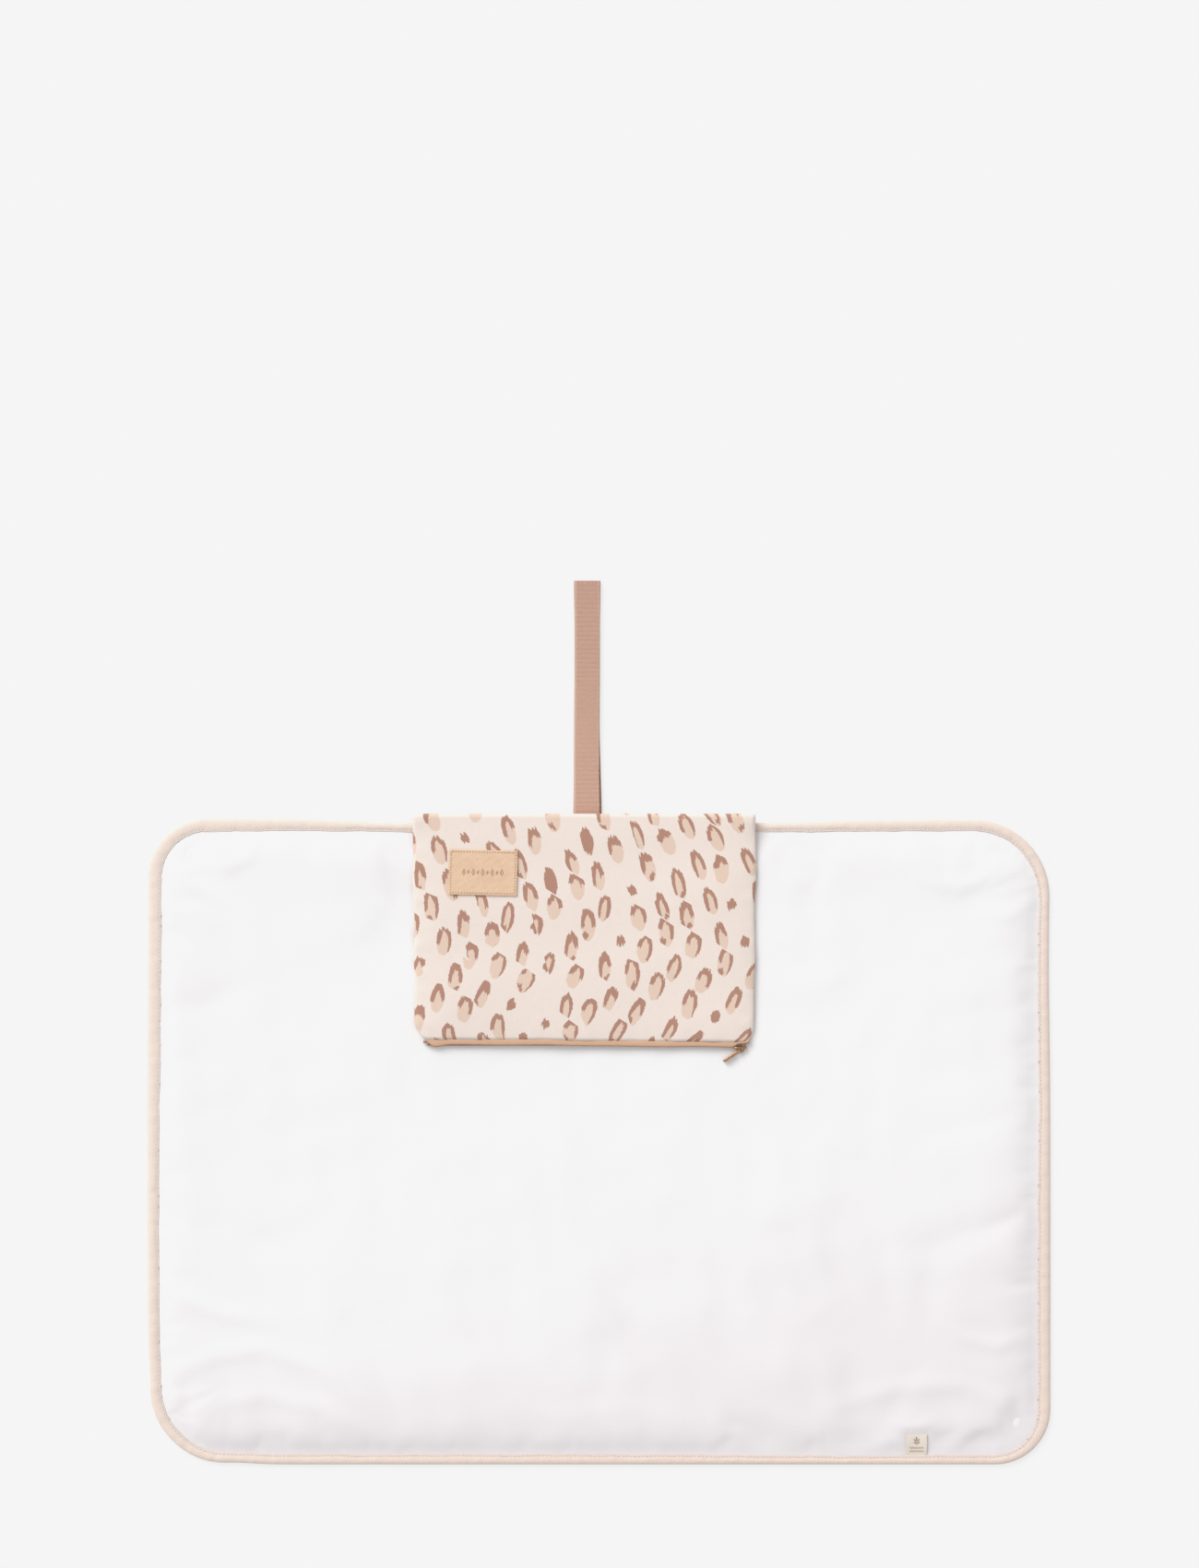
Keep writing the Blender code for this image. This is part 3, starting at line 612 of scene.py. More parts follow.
def wovenTab():
    # cream damask ribbon with a small brown leaf sprig woven in
    material, tree, shader = newMaterial("wovenRibbon", 0.8, 0.3, 0.25)
    u, v = clothPlace(tree)
    x = (u - tabLook["x"]) * 1000.0                     # millimetres from the sprig's foot
    y = (v - tabLook["sprigY"]) * 1000.0
    ink = None
    for leafX, leafY, turn, halfLong, halfWide in tabLook["leaves"]:
        c, s = math.cos(math.radians(turn)), math.sin(math.radians(turn))
        along = (x - leafX) * c + (y - leafY) * s
        across = (y - leafY) * c - (x - leafX) * s
        gap = maths(tree, "ABSOLUTE", across) / halfWide + along * along / (halfLong * halfLong)
        mark = 1.0 - ramp(gap, 0.85, 1.05)
        ink = mark if ink is None else most(ink, mark)
    stem = 1.0 - ramp(maths(tree, "ABSOLUTE", x), 0.16, 0.28)
    stem = stem * ramp(y, -2.6, -2.4) * (1.0 - ramp(y, 1.9, 2.1))
    ink = most(ink, stem)
    for rowY, phase in ((-4.6, 0.0), (-7.4, 1.4)):      # two rows of little waves under it
        wave = maths(tree, "SINE", x * 3.4 + phase) * 0.55 + rowY
        row = 1.0 - ramp(maths(tree, "ABSOLUTE", y - wave), 0.22, 0.50)
        ink = most(ink, row * (1.0 - ramp(maths(tree, "ABSOLUTE", x), 5.2, 5.6)))
    over, slub = weave(tree, u, v, 0.00032)
    colour = blendColour(ink * (over * 0.15 + 0.85), dye(240, 230, 217), dye(134, 94, 70))
    plug(tree, scaleColour(colour, slub * 0.05 + 1.0), shader.inputs["Base Color"])
    plug(tree, bump(tree, over + slub, 0.00006), shader.inputs["Normal"])
    return material


def floorPaint():
    material, tree, shader = newMaterial("paleFloor", 0.9, 0.0, 0.1)
    spot = node(tree, "ShaderNodeTexCoord")
    cloud = node(tree, "ShaderNodeTexNoise", {"Vector": spot.outputs["Object"], "Scale": 3.0})
    paint = blendColour(Wire(tree, cloud.outputs[0]), dye(245, 245, 245, 0.25), dye(244, 244, 244, 0.25))
    plug(tree, paint, shader.inputs["Base Color"])
    shader.inputs["Emission Color"].default_value = (1.0, 1.0, 1.0, 1.0)
    shader.inputs["Emission Strength"].default_value = 0.685   # a sweep that is lit from behind as well
    return material


def setStudio():
    look = studio
    scene = bpy.context.scene
    scene.view_settings.view_transform = "Standard"
    scene.view_settings.use_curve_mapping = True        # a bright exposure: pale tones run together
    tones = scene.view_settings.curve_mapping
    tones.extend = "HORIZONTAL"
    shade = tones.curves[3]
    for low, high in look["toneCurve"]:
        shade.points.new(low, high)
    shade.points[-1].location = (1.0, 0.926)
    tones.update()
    lens = bpy.data.cameras.new("camera")
    lens.lens = look["lens"]
    lens.sensor_width = look["sensor"]
    lens.clip_start = 0.05
    lens.clip_end = 60.0
    camera = bpy.data.objects.new("camera", lens)
    camera.location = (0.0, look["viewY"], look["viewHeight"] * look["lens"] / look["sensor"])
    scene.collection.objects.link(camera)
    scene.camera = camera

    world = bpy.data.worlds.new("studioSky")
    scene.world = world
    world.use_nodes = True
    tree = world.node_tree
    spot = node(tree, "ShaderNodeTexCoord")
    parts = node(tree, "ShaderNodeSeparateXYZ", {0: spot.outputs["Generated"]})
    height = ramp(Wire(tree, parts.outputs[2]), -0.1, 0.7)
    level = height * (look["skyTop"] - look["skyHorizon"]) + look["skyHorizon"]
    background = tree.nodes["Background"]
    background.inputs["Color"].default_value = (1.0, 1.0, 1.0, 1.0)
    plug(tree, level, background.inputs["Strength"])

    lamp = bpy.data.lights.new("window", "SUN")
    lamp.energy = look["sunStrength"]
    lamp.angle = math.radians(look["sunSoftness"])
    lamp.color = (1.0, 0.998, 0.995)
    sun = bpy.data.objects.new("window", lamp)
    sun.rotation_euler = Vector(look["sunFrom"]).to_track_quat("Z", "Y").to_euler()
    scene.collection.objects.link(sun)

    side = look["floorSize"] / 2
    low = -look["floorGap"]
    corners = [(-side, -side, low), (side, -side, low), (side, side, low), (-side, side, low)]
    floor = makeObject("floor", corners, [(0, 1, 2, 3)], floorPaint(), smoothShade=False)
    print("studio ready")


mat = {
    "halfLong": 0.350,
    "halfDeep": 0.250,
    "corners": {(1, 1): 0.060, (-1, 1): 0.045, (-1, -1): 0.063, (1, -1): 0.043},
    "splitX": -0.0118,      # under the pouch, where each layer's two halves meet
    "height": 0.0060,
    "edgeTop": 0.0025,      # the cover's height where the binding catches it
    "rise": 0.027,          # over which it climbs to its full height
    "tuck": 0.0055,         # cloth inside the binding
    "bindingWide": 0.0088,
    "simCell": 0.0052,
    "backCell": 0.0045,
    "waddingCell": 0.0060,
    "leftTurn": (-0.1428, -0.1618),     # where the bend over each fold line starts and ends
    "rightTurn": (0.1172, 0.1412),
    "backShift": 0.62,      # where the underside was cut from the printed cloth
    "slack": 0.022,         # how much too big the cover is at its corners
    "simFrames": 20,
    "buckleReach": 0.0014,  # the highest a buckle rises
    "foldHeight": 1.8,      # over the heights listed with the fold lines
    "coverDepth": 0.0005,
    "pouchHalf": 0.150,
    "topDip": 0.0031,       # how far the top edge is drawn in beside the pouch
    "dipSpan": 0.062,
}


def cornerRadius(x, y):
    c = mat["corners"]
    right = np.where(y > 0, c[(1, 1)], c[(1, -1)])
    left = np.where(y > 0, c[(-1, 1)], c[(-1, -1)])
    return np.where(x > 0, right, left)


def inwards(x, y):
    # distance in from the mat's edge, its round corners included
    r = cornerRadius(x, y)
    qx = np.abs(x) - mat["halfLong"] + r
    qy = np.abs(y) - mat["halfDeep"] + r
    outside = np.hypot(np.maximum(qx, 0), np.maximum(qy, 0))
    return r - outside - np.minimum(np.maximum(qx, qy), 0)


def roundCorners(x, y, inset):
    # bends a rectangle's grid into the mat's outline, moved in by inset
    r = cornerRadius(x, y) - inset
    dx = (np.abs(x) - (mat["halfLong"] - inset - r)) / r
    dy = (np.abs(y) - (mat["halfDeep"] - inset - r)) / r
    both = (dx > 0) & (dy > 0)
    u = np.clip(dx, 0, 1)
    v = np.clip(dy, 0, 1)
    newX = np.sign(x) * (mat["halfLong"] - inset - r + r * u * np.sqrt(1 - v * v / 2))
    newY = np.sign(y) * (mat["halfDeep"] - inset - r + r * v * np.sqrt(1 - u * u / 2))
    return np.where(both, newX, x), np.where(both, newY, y)


def settle(x, y):
    # how the sewn mat lies: its edges bow a little, and the top one is drawn in beside the pouch
    top = smooth((y - 0.10) / 0.15)
    away = np.maximum(np.abs(x - mat["splitX"]) - mat["pouchHalf"] + 0.012, 0)
    dip = mat["topDip"] * np.exp(-((away / mat["dipSpan"]) ** 2)) * top
    rightTop = 0.0016 * smooth((x - 0.12) / 0.1) * top
    left = smooth((-x - 0.20) / 0.15)
    right = smooth((x - 0.20) / 0.15)
    bow = 0.0010 * np.cos(np.pi * y / 0.44) * left
    draw = 0.0012 * np.exp(-(((y - 0.14) / 0.075) ** 2)) * right
    bottom = smooth((-y - 0.12) / 0.12)
    sway = 0.0006 * bottom
    farX, farY = x + mat["halfLong"], y + mat["halfDeep"]      # the lower left corner is the fullest
    eased = 0.0014 * np.exp(-(((farX - 0.066) / 0.020) ** 2)) * np.exp(-np.abs(farY) / 0.05)
    easedX = 0.0014 * np.exp(-(((farY - 0.066) / 0.020) ** 2)) * np.exp(-np.abs(farX) / 0.05)
    newX = x - bow - draw + easedX
    return newX, y - dip - rightTop * 0.55 + 0.0006 * top - sway + eased


def spacedBetween(low, high, cell):
    return np.linspace(low, high, max(2, int(round((high - low) / cell)) + 1))


def matGrid(inset, cell):
    # x and y of a sheet of cloth that fills the mat's outline, with a column on the middle line
    split = mat["splitX"]
    left = spacedBetween(-mat["halfLong"] + inset, split, cell)
    right = spacedBetween(split, mat["halfLong"] - inset, cell)[1:]
    xs = np.concatenate([left, right])
    ys = spacedBetween(-mat["halfDeep"] + inset, mat["halfDeep"] - inset, cell)
    x, y = np.meshgrid(xs, ys)
    flatX, flatY = roundCorners(x.ravel(), y.ravel(), inset)
    return flatX, flatY, len(ys), len(xs), x.ravel()


def outward(x, y):
    # the way out to the nearest edge
    r = cornerRadius(x, y)
    qx = np.abs(x) - (mat["halfLong"] - r)
    qy = np.abs(y) - (mat["halfDeep"] - r)
    corner = (qx > 0) & (qy > 0)
    length = np.maximum(np.hypot(qx, qy), 1e-9)
    wayX = np.where(corner, qx / length, np.where(qx > qy, 1.0, 0.0))
    wayY = np.where(corner, qy / length, np.where(qx > qy, 0.0, 1.0))
    return wayX * np.sign(x), wayY * np.sign(y)


def bindingWidth(x, y):
    # how wide the tape lies over the cover, side by side, with the unevenness of sewing
    wayX, wayY = outward(x, y)
    away = np.abs(x - mat["splitX"]) - mat["pouchHalf"]
    top = 0.0086 + 0.0015 * smooth((-x - 0.21) / 0.09) - 0.0013 * np.exp(-((away / 0.045) ** 2))
    bottom = 0.0083 - 0.0013 * np.exp(-(((x - 0.20) / 0.12) ** 2))
    left = 0.0090 + 0.0013 * smooth((y + 0.04) / 0.14)
    right = 0.0087 + 0.0011 * smooth((0.05 - y) / 0.12) - 0.0006 * np.exp(-(((y - 0.17) / 0.03) ** 2))
    wide = top * np.maximum(wayY, 0) ** 2 + bottom * np.maximum(-wayY, 0) ** 2
    wide += right * np.maximum(wayX, 0) ** 2 + left * np.maximum(-wayX, 0) ** 2
    run = np.abs(wayY) * x + np.abs(wayX) * y
    wide += 0.00022 * wander(run, (0.031, 0.053, 0.094), 17)
    return wide + 0.00008 * wander(run, (0.011, 0.017), 18)


def coverHeight(d):
    # the top cover's height, d in from the binding's inner edge
    climb = 1 - (1 - np.clip(d / mat["rise"], 0, 1)) ** 1.8
    return mat["edgeTop"] + (mat["height"] - mat["edgeTop"]) * climb


def rimPath(step):
    # points round the mat's edge from the middle of its top, anticlockwise, with the way out of each
    hx, hy = mat["halfLong"], mat["halfDeep"]
    split = mat["splitX"]
    corners = mat["corners"]
    points, ways = [], []

    def run(a, b, way):
        a, b = np.array(a), np.array(b)
        count = max(1, int(round(np.linalg.norm(b - a) / step)))
        for i in range(count):
            points.append(a + (b - a) * i / count)
            ways.append(way)

    def turn(sx, sy, start):
        r = corners[(sx, sy)]
        middle = np.array((sx * (hx - r), sy * (hy - r)))
        count = max(4, int(round(r * math.pi / 2 / step)))
        for i in range(count):
            angle = math.radians(start) + math.pi / 2 * i / count
            way = np.array((math.cos(angle), math.sin(angle)))
            points.append(middle + r * way)
            ways.append(way)

    tl, bl = corners[(-1, 1)], corners[(-1, -1)]
    tr, br = corners[(1, 1)], corners[(1, -1)]
    run((split, hy), (-hx + tl, hy), np.array((0.0, 1.0)))
    turn(-1, 1, 90)
    run((-hx, hy - tl), (-hx, -hy + bl), np.array((-1.0, 0.0)))
    turn(-1, -1, 180)
    run((-hx + bl, -hy), (split, -hy), np.array((0.0, -1.0)))
    run((split, -hy), (hx - br, -hy), np.array((0.0, -1.0)))
    turn(1, -1, 270)
    run((hx, -hy + br), (hx, hy - tr), np.array((1.0, 0.0)))
    turn(1, 1, 0)
    run((hx - tr, hy), (split, hy), np.array((0.0, 1.0)))
    points = np.array(points)
    along = np.concatenate([[0], np.cumsum(np.linalg.norm(np.diff(points, axis=0), axis=1))])
    return points, np.array(ways), along


def cornerShare(x, y):
    # 1 at a corner's middle, falling away from it
    share = np.zeros_like(x)
    for (sx, sy), strength in (((-1, 1), 1.0), ((-1, -1), 1.0), ((1, 1), 0.8), ((1, -1), 0.7)):
        far = np.hypot(x - sx * mat["halfLong"], y - sy * mat["halfDeep"])
        share = np.maximum(share, strength * (1 - smooth((far - 0.02) / 0.13)))
    return share


def puckers(x, y):
    # short gathers that run in from the binding, longer at the corners
    points, _, along = rimPath(0.004)
    tree = KDTree(len(points))
    for i, p in enumerate(points):
        tree.insert((p[0], p[1], 0), i)
    tree.balance()
    d = inwards(x, y) - bindingWidth(x, y)
    near = d < 0.09
    lift = np.zeros_like(x)
    index = np.array([tree.find((a, b, 0))[1] for a, b in zip(x[near], y[near])], int)
    base = points[index]
    after = points[(index + 1) % len(points)]
    before = points[index - 1]
    way = after - before
    way /= np.linalg.norm(way, axis=1)[:, None]
    offset = (np.stack([x[near], y[near]], 1) - base) * way
    s = along[index] + offset.sum(1)
    dn = np.maximum(d[near], 0)
    corner = cornerShare(x[near], y[near])
    sides = 1 - smooth((np.abs(y[near]) - 0.20) / 0.05) * (1 - corner)
    shortOnes = wander(s, (0.0071, 0.0093, 0.0127, 0.0171), 3) * np.exp(-dn / 0.0075)
    slow = smooth(0.5 + 0.6 * wander(s, (0.083, 0.131, 0.047), 5))
    longOnes = wander(s, (0.031, 0.047, 0.0235), 8) * np.exp(-((dn / 0.052) ** 1.3))
    lift[near] = 0.00026 * shortOnes * (0.35 + 0.65 * slow) * (0.45 + 0.55 * sides)
    lift[near] += 0.00030 * longOnes * corner * smooth(dn / 0.012)
    return lift * smooth((d + 0.0005) / 0.003)


foldLines = (    # broad folds of the cover: points in millimetres, half width, height
    (((-322, 232), (-328, 214), (-318, 200), (-292, 186)), 6.0, 0.60),
    (((-306, 215), (-287, 213), (-272, 221), (-264, 238)), 6.0, 0.50),
    (((-340, 186), (-325, 178), (-308, 180)), 5.0, 0.45),
    (((-344, -108), (-322, -120), (-290, -134), (-256, -138)), 7.0, 0.60),
    (((-336, -180), (-300, -166), (-262, -160), (-216, -174), (-190, -196)), 8.0, 0.70),
    (((-300, -205), (-262, -196), (-214, -206), (-180, -226)), 8.0, 0.55),
    (((-157, -243), (-160, -236)), 1.6, 0.35),
    (((-136, -243), (-132, -237)), 1.5, 0.35),
    (((262, -214), (246, -220), (226, -218)), 4.0, 0.35),
    (((180, -205), (232, -190), (282, -188), (322, -204)), 8.0, 0.55),
    (((330, -150), (308, -158), (276, -150)), 6.0, 0.50),
    (((318, 226), (306, 208), (280, 198), (250, 204)), 7.0, 0.60),
    (((338, 190), (318, 176), (296, 176)), 6.0, 0.45),
    (((60, -214), (20, -206), (-30, -212), (-70, -204)), 9.0, 0.35),
)


def folds(x, y):
    # the height of the broad folds at a place
    lift = np.zeros_like(x)
    for path, halfWidth, high in foldLines:
        path = np.array(path, float) / 1000
        total = sum(math.dist(a, b) for a, b in zip(path, path[1:]))
        best = np.full_like(x, 1e9)
        run = np.zeros_like(x)
        gone = 0.0
        for a, b in zip(path, path[1:]):
            way = b - a
            length = np.linalg.norm(way)
            t = np.clip(((x - a[0]) * way[0] + (y - a[1]) * way[1]) / length ** 2, 0, 1)
            far = np.hypot(x - a[0] - way[0] * t, y - a[1] - way[1] * t)
            run = np.where(far < best, gone + t * length, run)
            best = np.minimum(far, best)
            gone += length
        fade = np.sin(np.clip(run / total, 0, 1) * math.pi * 0.8 + math.pi * 0.1)
        lift += mat["foldHeight"] * high / 1000 * np.exp(-((best / (halfWidth / 1000)) ** 2)) * fade
    return lift


def makeTopCover():
    # one sheet held all round by the binding, slack enough to buckle over its padding
    inset = mat["bindingWide"] - mat["tuck"]
    x, y, rows, columns, flatX = matGrid(inset, mat["simCell"])
    d = inwards(x, y) - bindingWidth(x, y)
    z = coverHeight(d) + 0.0002 * ripple(x, y, 0.034, 11) * smooth(d / 0.02)
    faces = gridFaces(rows, columns)
    cover = makeObject("topCover", np.stack([x, y, z], 1), faces, None, np.stack([flatX, y], 1))
    buckle(cover, x, y, d)
    cover.modifiers.new("finer", "SUBSURF").levels = 1
    cover.modifiers["finer"].render_levels = 1
    cover.modifiers["finer"].uv_smooth = "NONE"
    cover = settled(cover, "topCover")
    points = positions(cover.data)
    x, y, z = points.T
    d = inwards(x, y) - bindingWidth(x, y)
    z = z + puckers(x, y)
    z += 0.00035 * ripple(x, y, 0.10, 21) * smooth(d / 0.03)
    z += folds(x, y) * smooth((d + 0.001) / 0.006)
    z = np.maximum(z, coverHeight(d) - 0.0002 - 0.08 * np.maximum(d, 0))
    overTab = smooth((0.0125 - np.abs(x - tabLook["x"])) / 0.004) * smooth((-0.222 - y) / 0.004)
    z = z * (1 - overTab) + (coverHeight(d) - 0.0002) * overTab      # lies flat under the woven tab
    underPouch = (np.abs(x - mat["splitX"]) < 0.133) & (y > 0.07)
    z = np.where(underPouch, np.minimum(z, 0.0063), z)
    x, y = settle(x, y)
    setPositions(cover.data, np.stack([x, y, z], 1))
    thicken(cover, mat["coverDepth"])
    cover.data.materials.append(looks["cover"])
    pieces = halves(cover, ("coverTopLeft", "coverTopRight"))
    for piece, wing in zip(pieces, ("left", "right")):
        foldWithWing(piece, wing)
        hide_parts("top_cover_" + wing, "top_cover_centre")
    print("top cover ready")


def foldWithWing(piece, wing):
    # bends a layer of the mat over its fold line, mostly beyond it; the outer wing has the wider turn
    start, end = mat[wing + "Turn"]
    if wing == "left":
        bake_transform(piece, "mat_centre", "left_wing", (start, 0, 0), (end, 0, 0))
    else:
        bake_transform(piece, "right_wing", "mat_centre", (end, 0, 0), (start, 0, 0))


def buckle(cover, x, y, d):
    # cloth simulation: the cover is a little too big for its binding, mostly at the corners
    held = cover.vertex_groups.new(name="held")
    snug = cover.vertex_groups.new(name="snug")
    corner = cornerShare(x, y)
    edge = np.exp(-np.maximum(d, 0) / 0.05)
    loose = np.clip(0.10 + 0.55 * edge + 0.75 * corner, 0, 1)
    for i in range(len(x)):
        snug.add([i], float(1 - loose[i]), "REPLACE")
    held.add([int(i) for i in np.nonzero(d < 0.001)[0]], 1.0, "REPLACE")
    cloth = cover.modifiers.new("cloth", "CLOTH")
    rules = cloth.settings
    rules.quality = 6
    rules.mass = 0.12
    rules.tension_stiffness = 30
    rules.compression_stiffness = 30
    rules.shear_stiffness = 12
    rules.bending_stiffness = 0.25
    rules.air_damping = 2
    rules.vertex_group_mass = "held"
    rules.vertex_group_shrink = "snug"
    rules.shrink_min = -mat["slack"]
    rules.shrink_max = 0.0
    rules.effector_weights.gravity = 0.0
    cloth.point_cache.frame_start = 1
    cloth.point_cache.frame_end = mat["simFrames"]
    scene = bpy.context.scene
    for step in range(1, mat["simFrames"] + 1):
        scene.frame_set(step)
    graph = bpy.context.evaluated_depsgraph_get()
    done = bpy.data.meshes.new_from_object(cover.evaluated_get(graph))
    start = positions(cover.data)
    move = positions(done) - start
    print("cover buckled by up to %.1f mm" % (np.abs(move[:, 2]).max() * 1000))
    reach = mat["buckleReach"] * (0.30 + 0.70 * np.maximum(edge, corner))  # flatter over the middle
    start[:, :2] += move[:, :2]
    start[:, 2] += reach * np.tanh(move[:, 2] / mat["buckleReach"]) * smooth((d - 0.001) / 0.012)
    cover.modifiers.remove(cloth)
    setPositions(cover.data, start)
    bpy.data.meshes.remove(done)
    scene.frame_set(1)


def makeBackCover():
    # the printed underside, which lies flat and turns up into the binding
    inset = mat["bindingWide"] - mat["tuck"]
    x, y, rows, columns, flatX = matGrid(inset, mat["backCell"])
    d = inwards(x, y) - bindingWidth(x, y)
    lift = 0.0012 * (1 - smooth((d + 0.002) / 0.008))
    z = 0.0002 + lift + 0.00007 * (1 + np.clip(ripple(x, y, 0.06, 31), -1, 1.5)) * smooth(d / 0.02)
    faces = gridFaces(rows, columns)
    newX, newY = settle(x, y)
    uv = np.stack([flatX, y + mat["backShift"]], 1)
    back = makeObject("backCover", np.stack([newX, newY, z], 1), faces, looks["print"], uv)
    back.data.flip_normals()
    thicken(back, mat["coverDepth"])
    pieces = halves(back, ("coverBackLeft", "coverBackRight"))
    for piece, wing in zip(pieces, ("left", "right")):
        foldWithWing(piece, wing)
        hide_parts("back_cover_" + wing, "back_cover_centre")
    print("back cover ready")


def makeWadding():
    # the padding between the covers, soft at its edges
    inset = mat["bindingWide"] + 0.0012
    x, y, rows, columns, flatX = matGrid(inset, mat["waddingCell"])
    d = inwards(x, y) - inset
    top = np.minimum(coverHeight(d + 0.0012) - 0.0012, 0.0042)
    middle = 0.0026
    swell = np.sqrt(1 - (1 - np.clip(d / 0.006, 0, 1)) ** 2)
    high = middle + (top - middle) * swell + 0.00006 * ripple(x, y, 0.02, 41) * swell
    low = middle - (middle - 0.0012) * swell
    newX, newY = settle(x, y)
    points = np.concatenate([np.stack([newX, newY, high], 1), np.stack([newX, newY, low], 1)])
    upper = gridFaces(rows, columns)
    count = rows * columns
    lower = [tuple(count + i for i in reversed(f)) for f in upper]
    uv = np.concatenate([np.stack([flatX, y], 1)] * 2)
    wadding = makeObject("wadding", points, upper + lower, looks["wadding"], uv)
    weld(wadding, 0.00001)
    pieces = halves(wadding, ("waddingLeft", "waddingRight"))
    for piece, wing in zip(pieces, ("left", "right")):
        foldWithWing(piece, wing)
        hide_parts("padding_" + wing, "padding_centre")
    print("wadding ready")


def weld(thing, gap):
    work = bmesh.new()
    work.from_mesh(thing.data)
    bmesh.ops.remove_doubles(work, verts=work.verts, dist=gap)
    work.to_mesh(thing.data)
    work.free()
    thing.data.update()


binding = {
    "step": 0.0021,
    "seamLine": 0.0016,     # the stitches' distance from the tape's inner edge
    "stitchPitch": 0.0031,
    "stitchLong": 0.0024,
    "stitchThick": 0.00042,
    "joinY": (-0.036, -0.102),      # the tape's joins at the left and at the right
    "joinSpan": 0.0011,
    "joinLift": 0.00030,
}


def bindingSection(wide):
    # the folded tape's section as (distance in, height, share of the puffs); arrays along the tape
    one = np.ones_like(wide)
    outer = [
        (wide, 2.80, 0), (wide - 0.0003, 3.15, 0.4), (wide - 0.0010, 3.22, 0.5),
        (wide - 0.0016, 3.05, 0.2), (wide - 0.0022, 3.25, 0.6), (wide * 0.62, 3.70, 1),
        (wide * 0.34, 3.72, 1), (0.0011 * one, 3.30, 0.7), (0.0003 * one, 2.60, 0.3),
        (0.0 * one, 1.75, 0), (0.0003 * one, 0.90, 0), (0.0010 * one, 0.32, 0),
        (wide * 0.35, 0.06, 0), (wide - 0.0018, 0.04, 0), (wide - 0.0004, 0.10, 0),
        (wide, 0.40, 0),
    ]
    inner = [
        (wide - 0.0002, 0.85, 0), (wide * 0.45, 0.66, 0), (0.0015 * one, 0.95, 0),
        (0.0008 * one, 1.75, 0), (0.0015 * one, 2.60, 0), (wide * 0.45, 3.05, 0.8),
        (wide - 0.0016, 2.68, 0), (wide - 0.0002, 2.55, 0),
    ]
    return outer + inner


def makeBinding():
    look = binding
    points, ways, along = rimPath(look["step"])
    x, y = points.T
    wide = bindingWidth(x * 0.9999, y * 0.9999)
    puffs = 0.00016 * wander(along, (0.0087, 0.0131, 0.023), 51)
    puffs += 0.00012 * wander(along, (0.041, 0.067), 52)
    onLeft = ways[:, 0] < -0.999
    joinY = np.where(onLeft, look["joinY"][0], look["joinY"][1])
    atSide = np.abs(x) > mat["halfLong"] - 0.012
    join = np.where(atSide, np.exp(-(((y - joinY) / look["joinSpan"]) ** 2)), 0) * look["joinLift"]
    section = bindingSection(wide)
    rings, tape, cloth = [], [], []
    for inward, height, share in section:
        px, py = x - ways[:, 0] * inward, y - ways[:, 1] * inward
        sx, sy = settle(px, py)
        z = height / 1000 + share * (puffs + join)
        rings.append(np.stack([sx, sy, z], 1))
        tape.append(np.stack([wide - inward, along], 1))
        cloth.append(np.stack([px, py], 1))
    count, size = len(points), len(section)
    grid = np.stack(rings, 1).reshape(-1, 3)            # ring after ring along the edge
    faces = []
    for i in range(count):
        here, after = i * size, ((i + 1) % count) * size
        faces += [(here + k, here + (k + 1) % size, after + (k + 1) % size, after + k) for k in range(size)]
    uv = np.stack(cloth, 1).reshape(-1, 2)
    edge = makeObject("binding", grid, faces, looks["binding"], uv)
    addMap(edge, "tape", np.stack(tape, 1).reshape(-1, 2))
    outwardFaces(edge)
    pieces = halves(edge, ("bindingLeft", "bindingRight"))
    for piece, wing in zip(pieces, ("left", "right")):
        foldWithWing(piece, wing)
        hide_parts("binding_" + wing, "binding_top_centre", "binding_bottom_centre")
    for label, height in (("Top", 3.22), ("Under", 0.02)):
        inward = wide - look["seamLine"]
        px, py = x - ways[:, 0] * inward, y - ways[:, 1] * inward
        sx, sy = settle(px, py)
        z = np.full(count, height / 1000) + (0.2 * (puffs + join) if label == "Top" else 0)
        line = makeLine("seam", np.stack([sx, sy, z], 1), closed=True)
        values = {"Pitch": look["stitchPitch"], "Length": look["stitchLong"],
                  "Thickness": look["stitchThick"], "Thread": looks["creamThread"]}
        row = runTree(line, stitchTree(), values, "bindingStitches" + label)
        for piece, wing in zip(halves(row, ("stitches%sLeft" % label, "stitches%sRight" % label), False),
                               ("left", "right")):
            foldWithWing(piece, wing)
    print("binding ready")


def addMap(thing, name, uv):
    mesh = thing.data
    layer = mesh.uv_layers.new(name=name)
    corners = np.zeros(len(mesh.loops), np.int32)
    mesh.loops.foreach_get("vertex_index", corners)
    layer.data.foreach_set("uv", np.asarray(uv, np.float32)[corners].ravel())
    mesh.uv_layers.active_index = 0


def outwardFaces(thing):
    work = bmesh.new()
    work.from_mesh(thing.data)
    bmesh.ops.recalc_face_normals(work, faces=work.faces)
    work.to_mesh(thing.data)
    work.free()
    thing.data.update()


def makeLine(name, points, closed=False):
    mesh = bpy.data.meshes.new(name)
    edges = [(i, i + 1) for i in range(len(points) - 1)]
    if closed:
        edges.append((len(points) - 1, 0))
    mesh.from_pydata([tuple(p) for p in points], edges, [])
    made = bpy.data.objects.new(name, mesh)
    collection.objects.link(made)
    return made


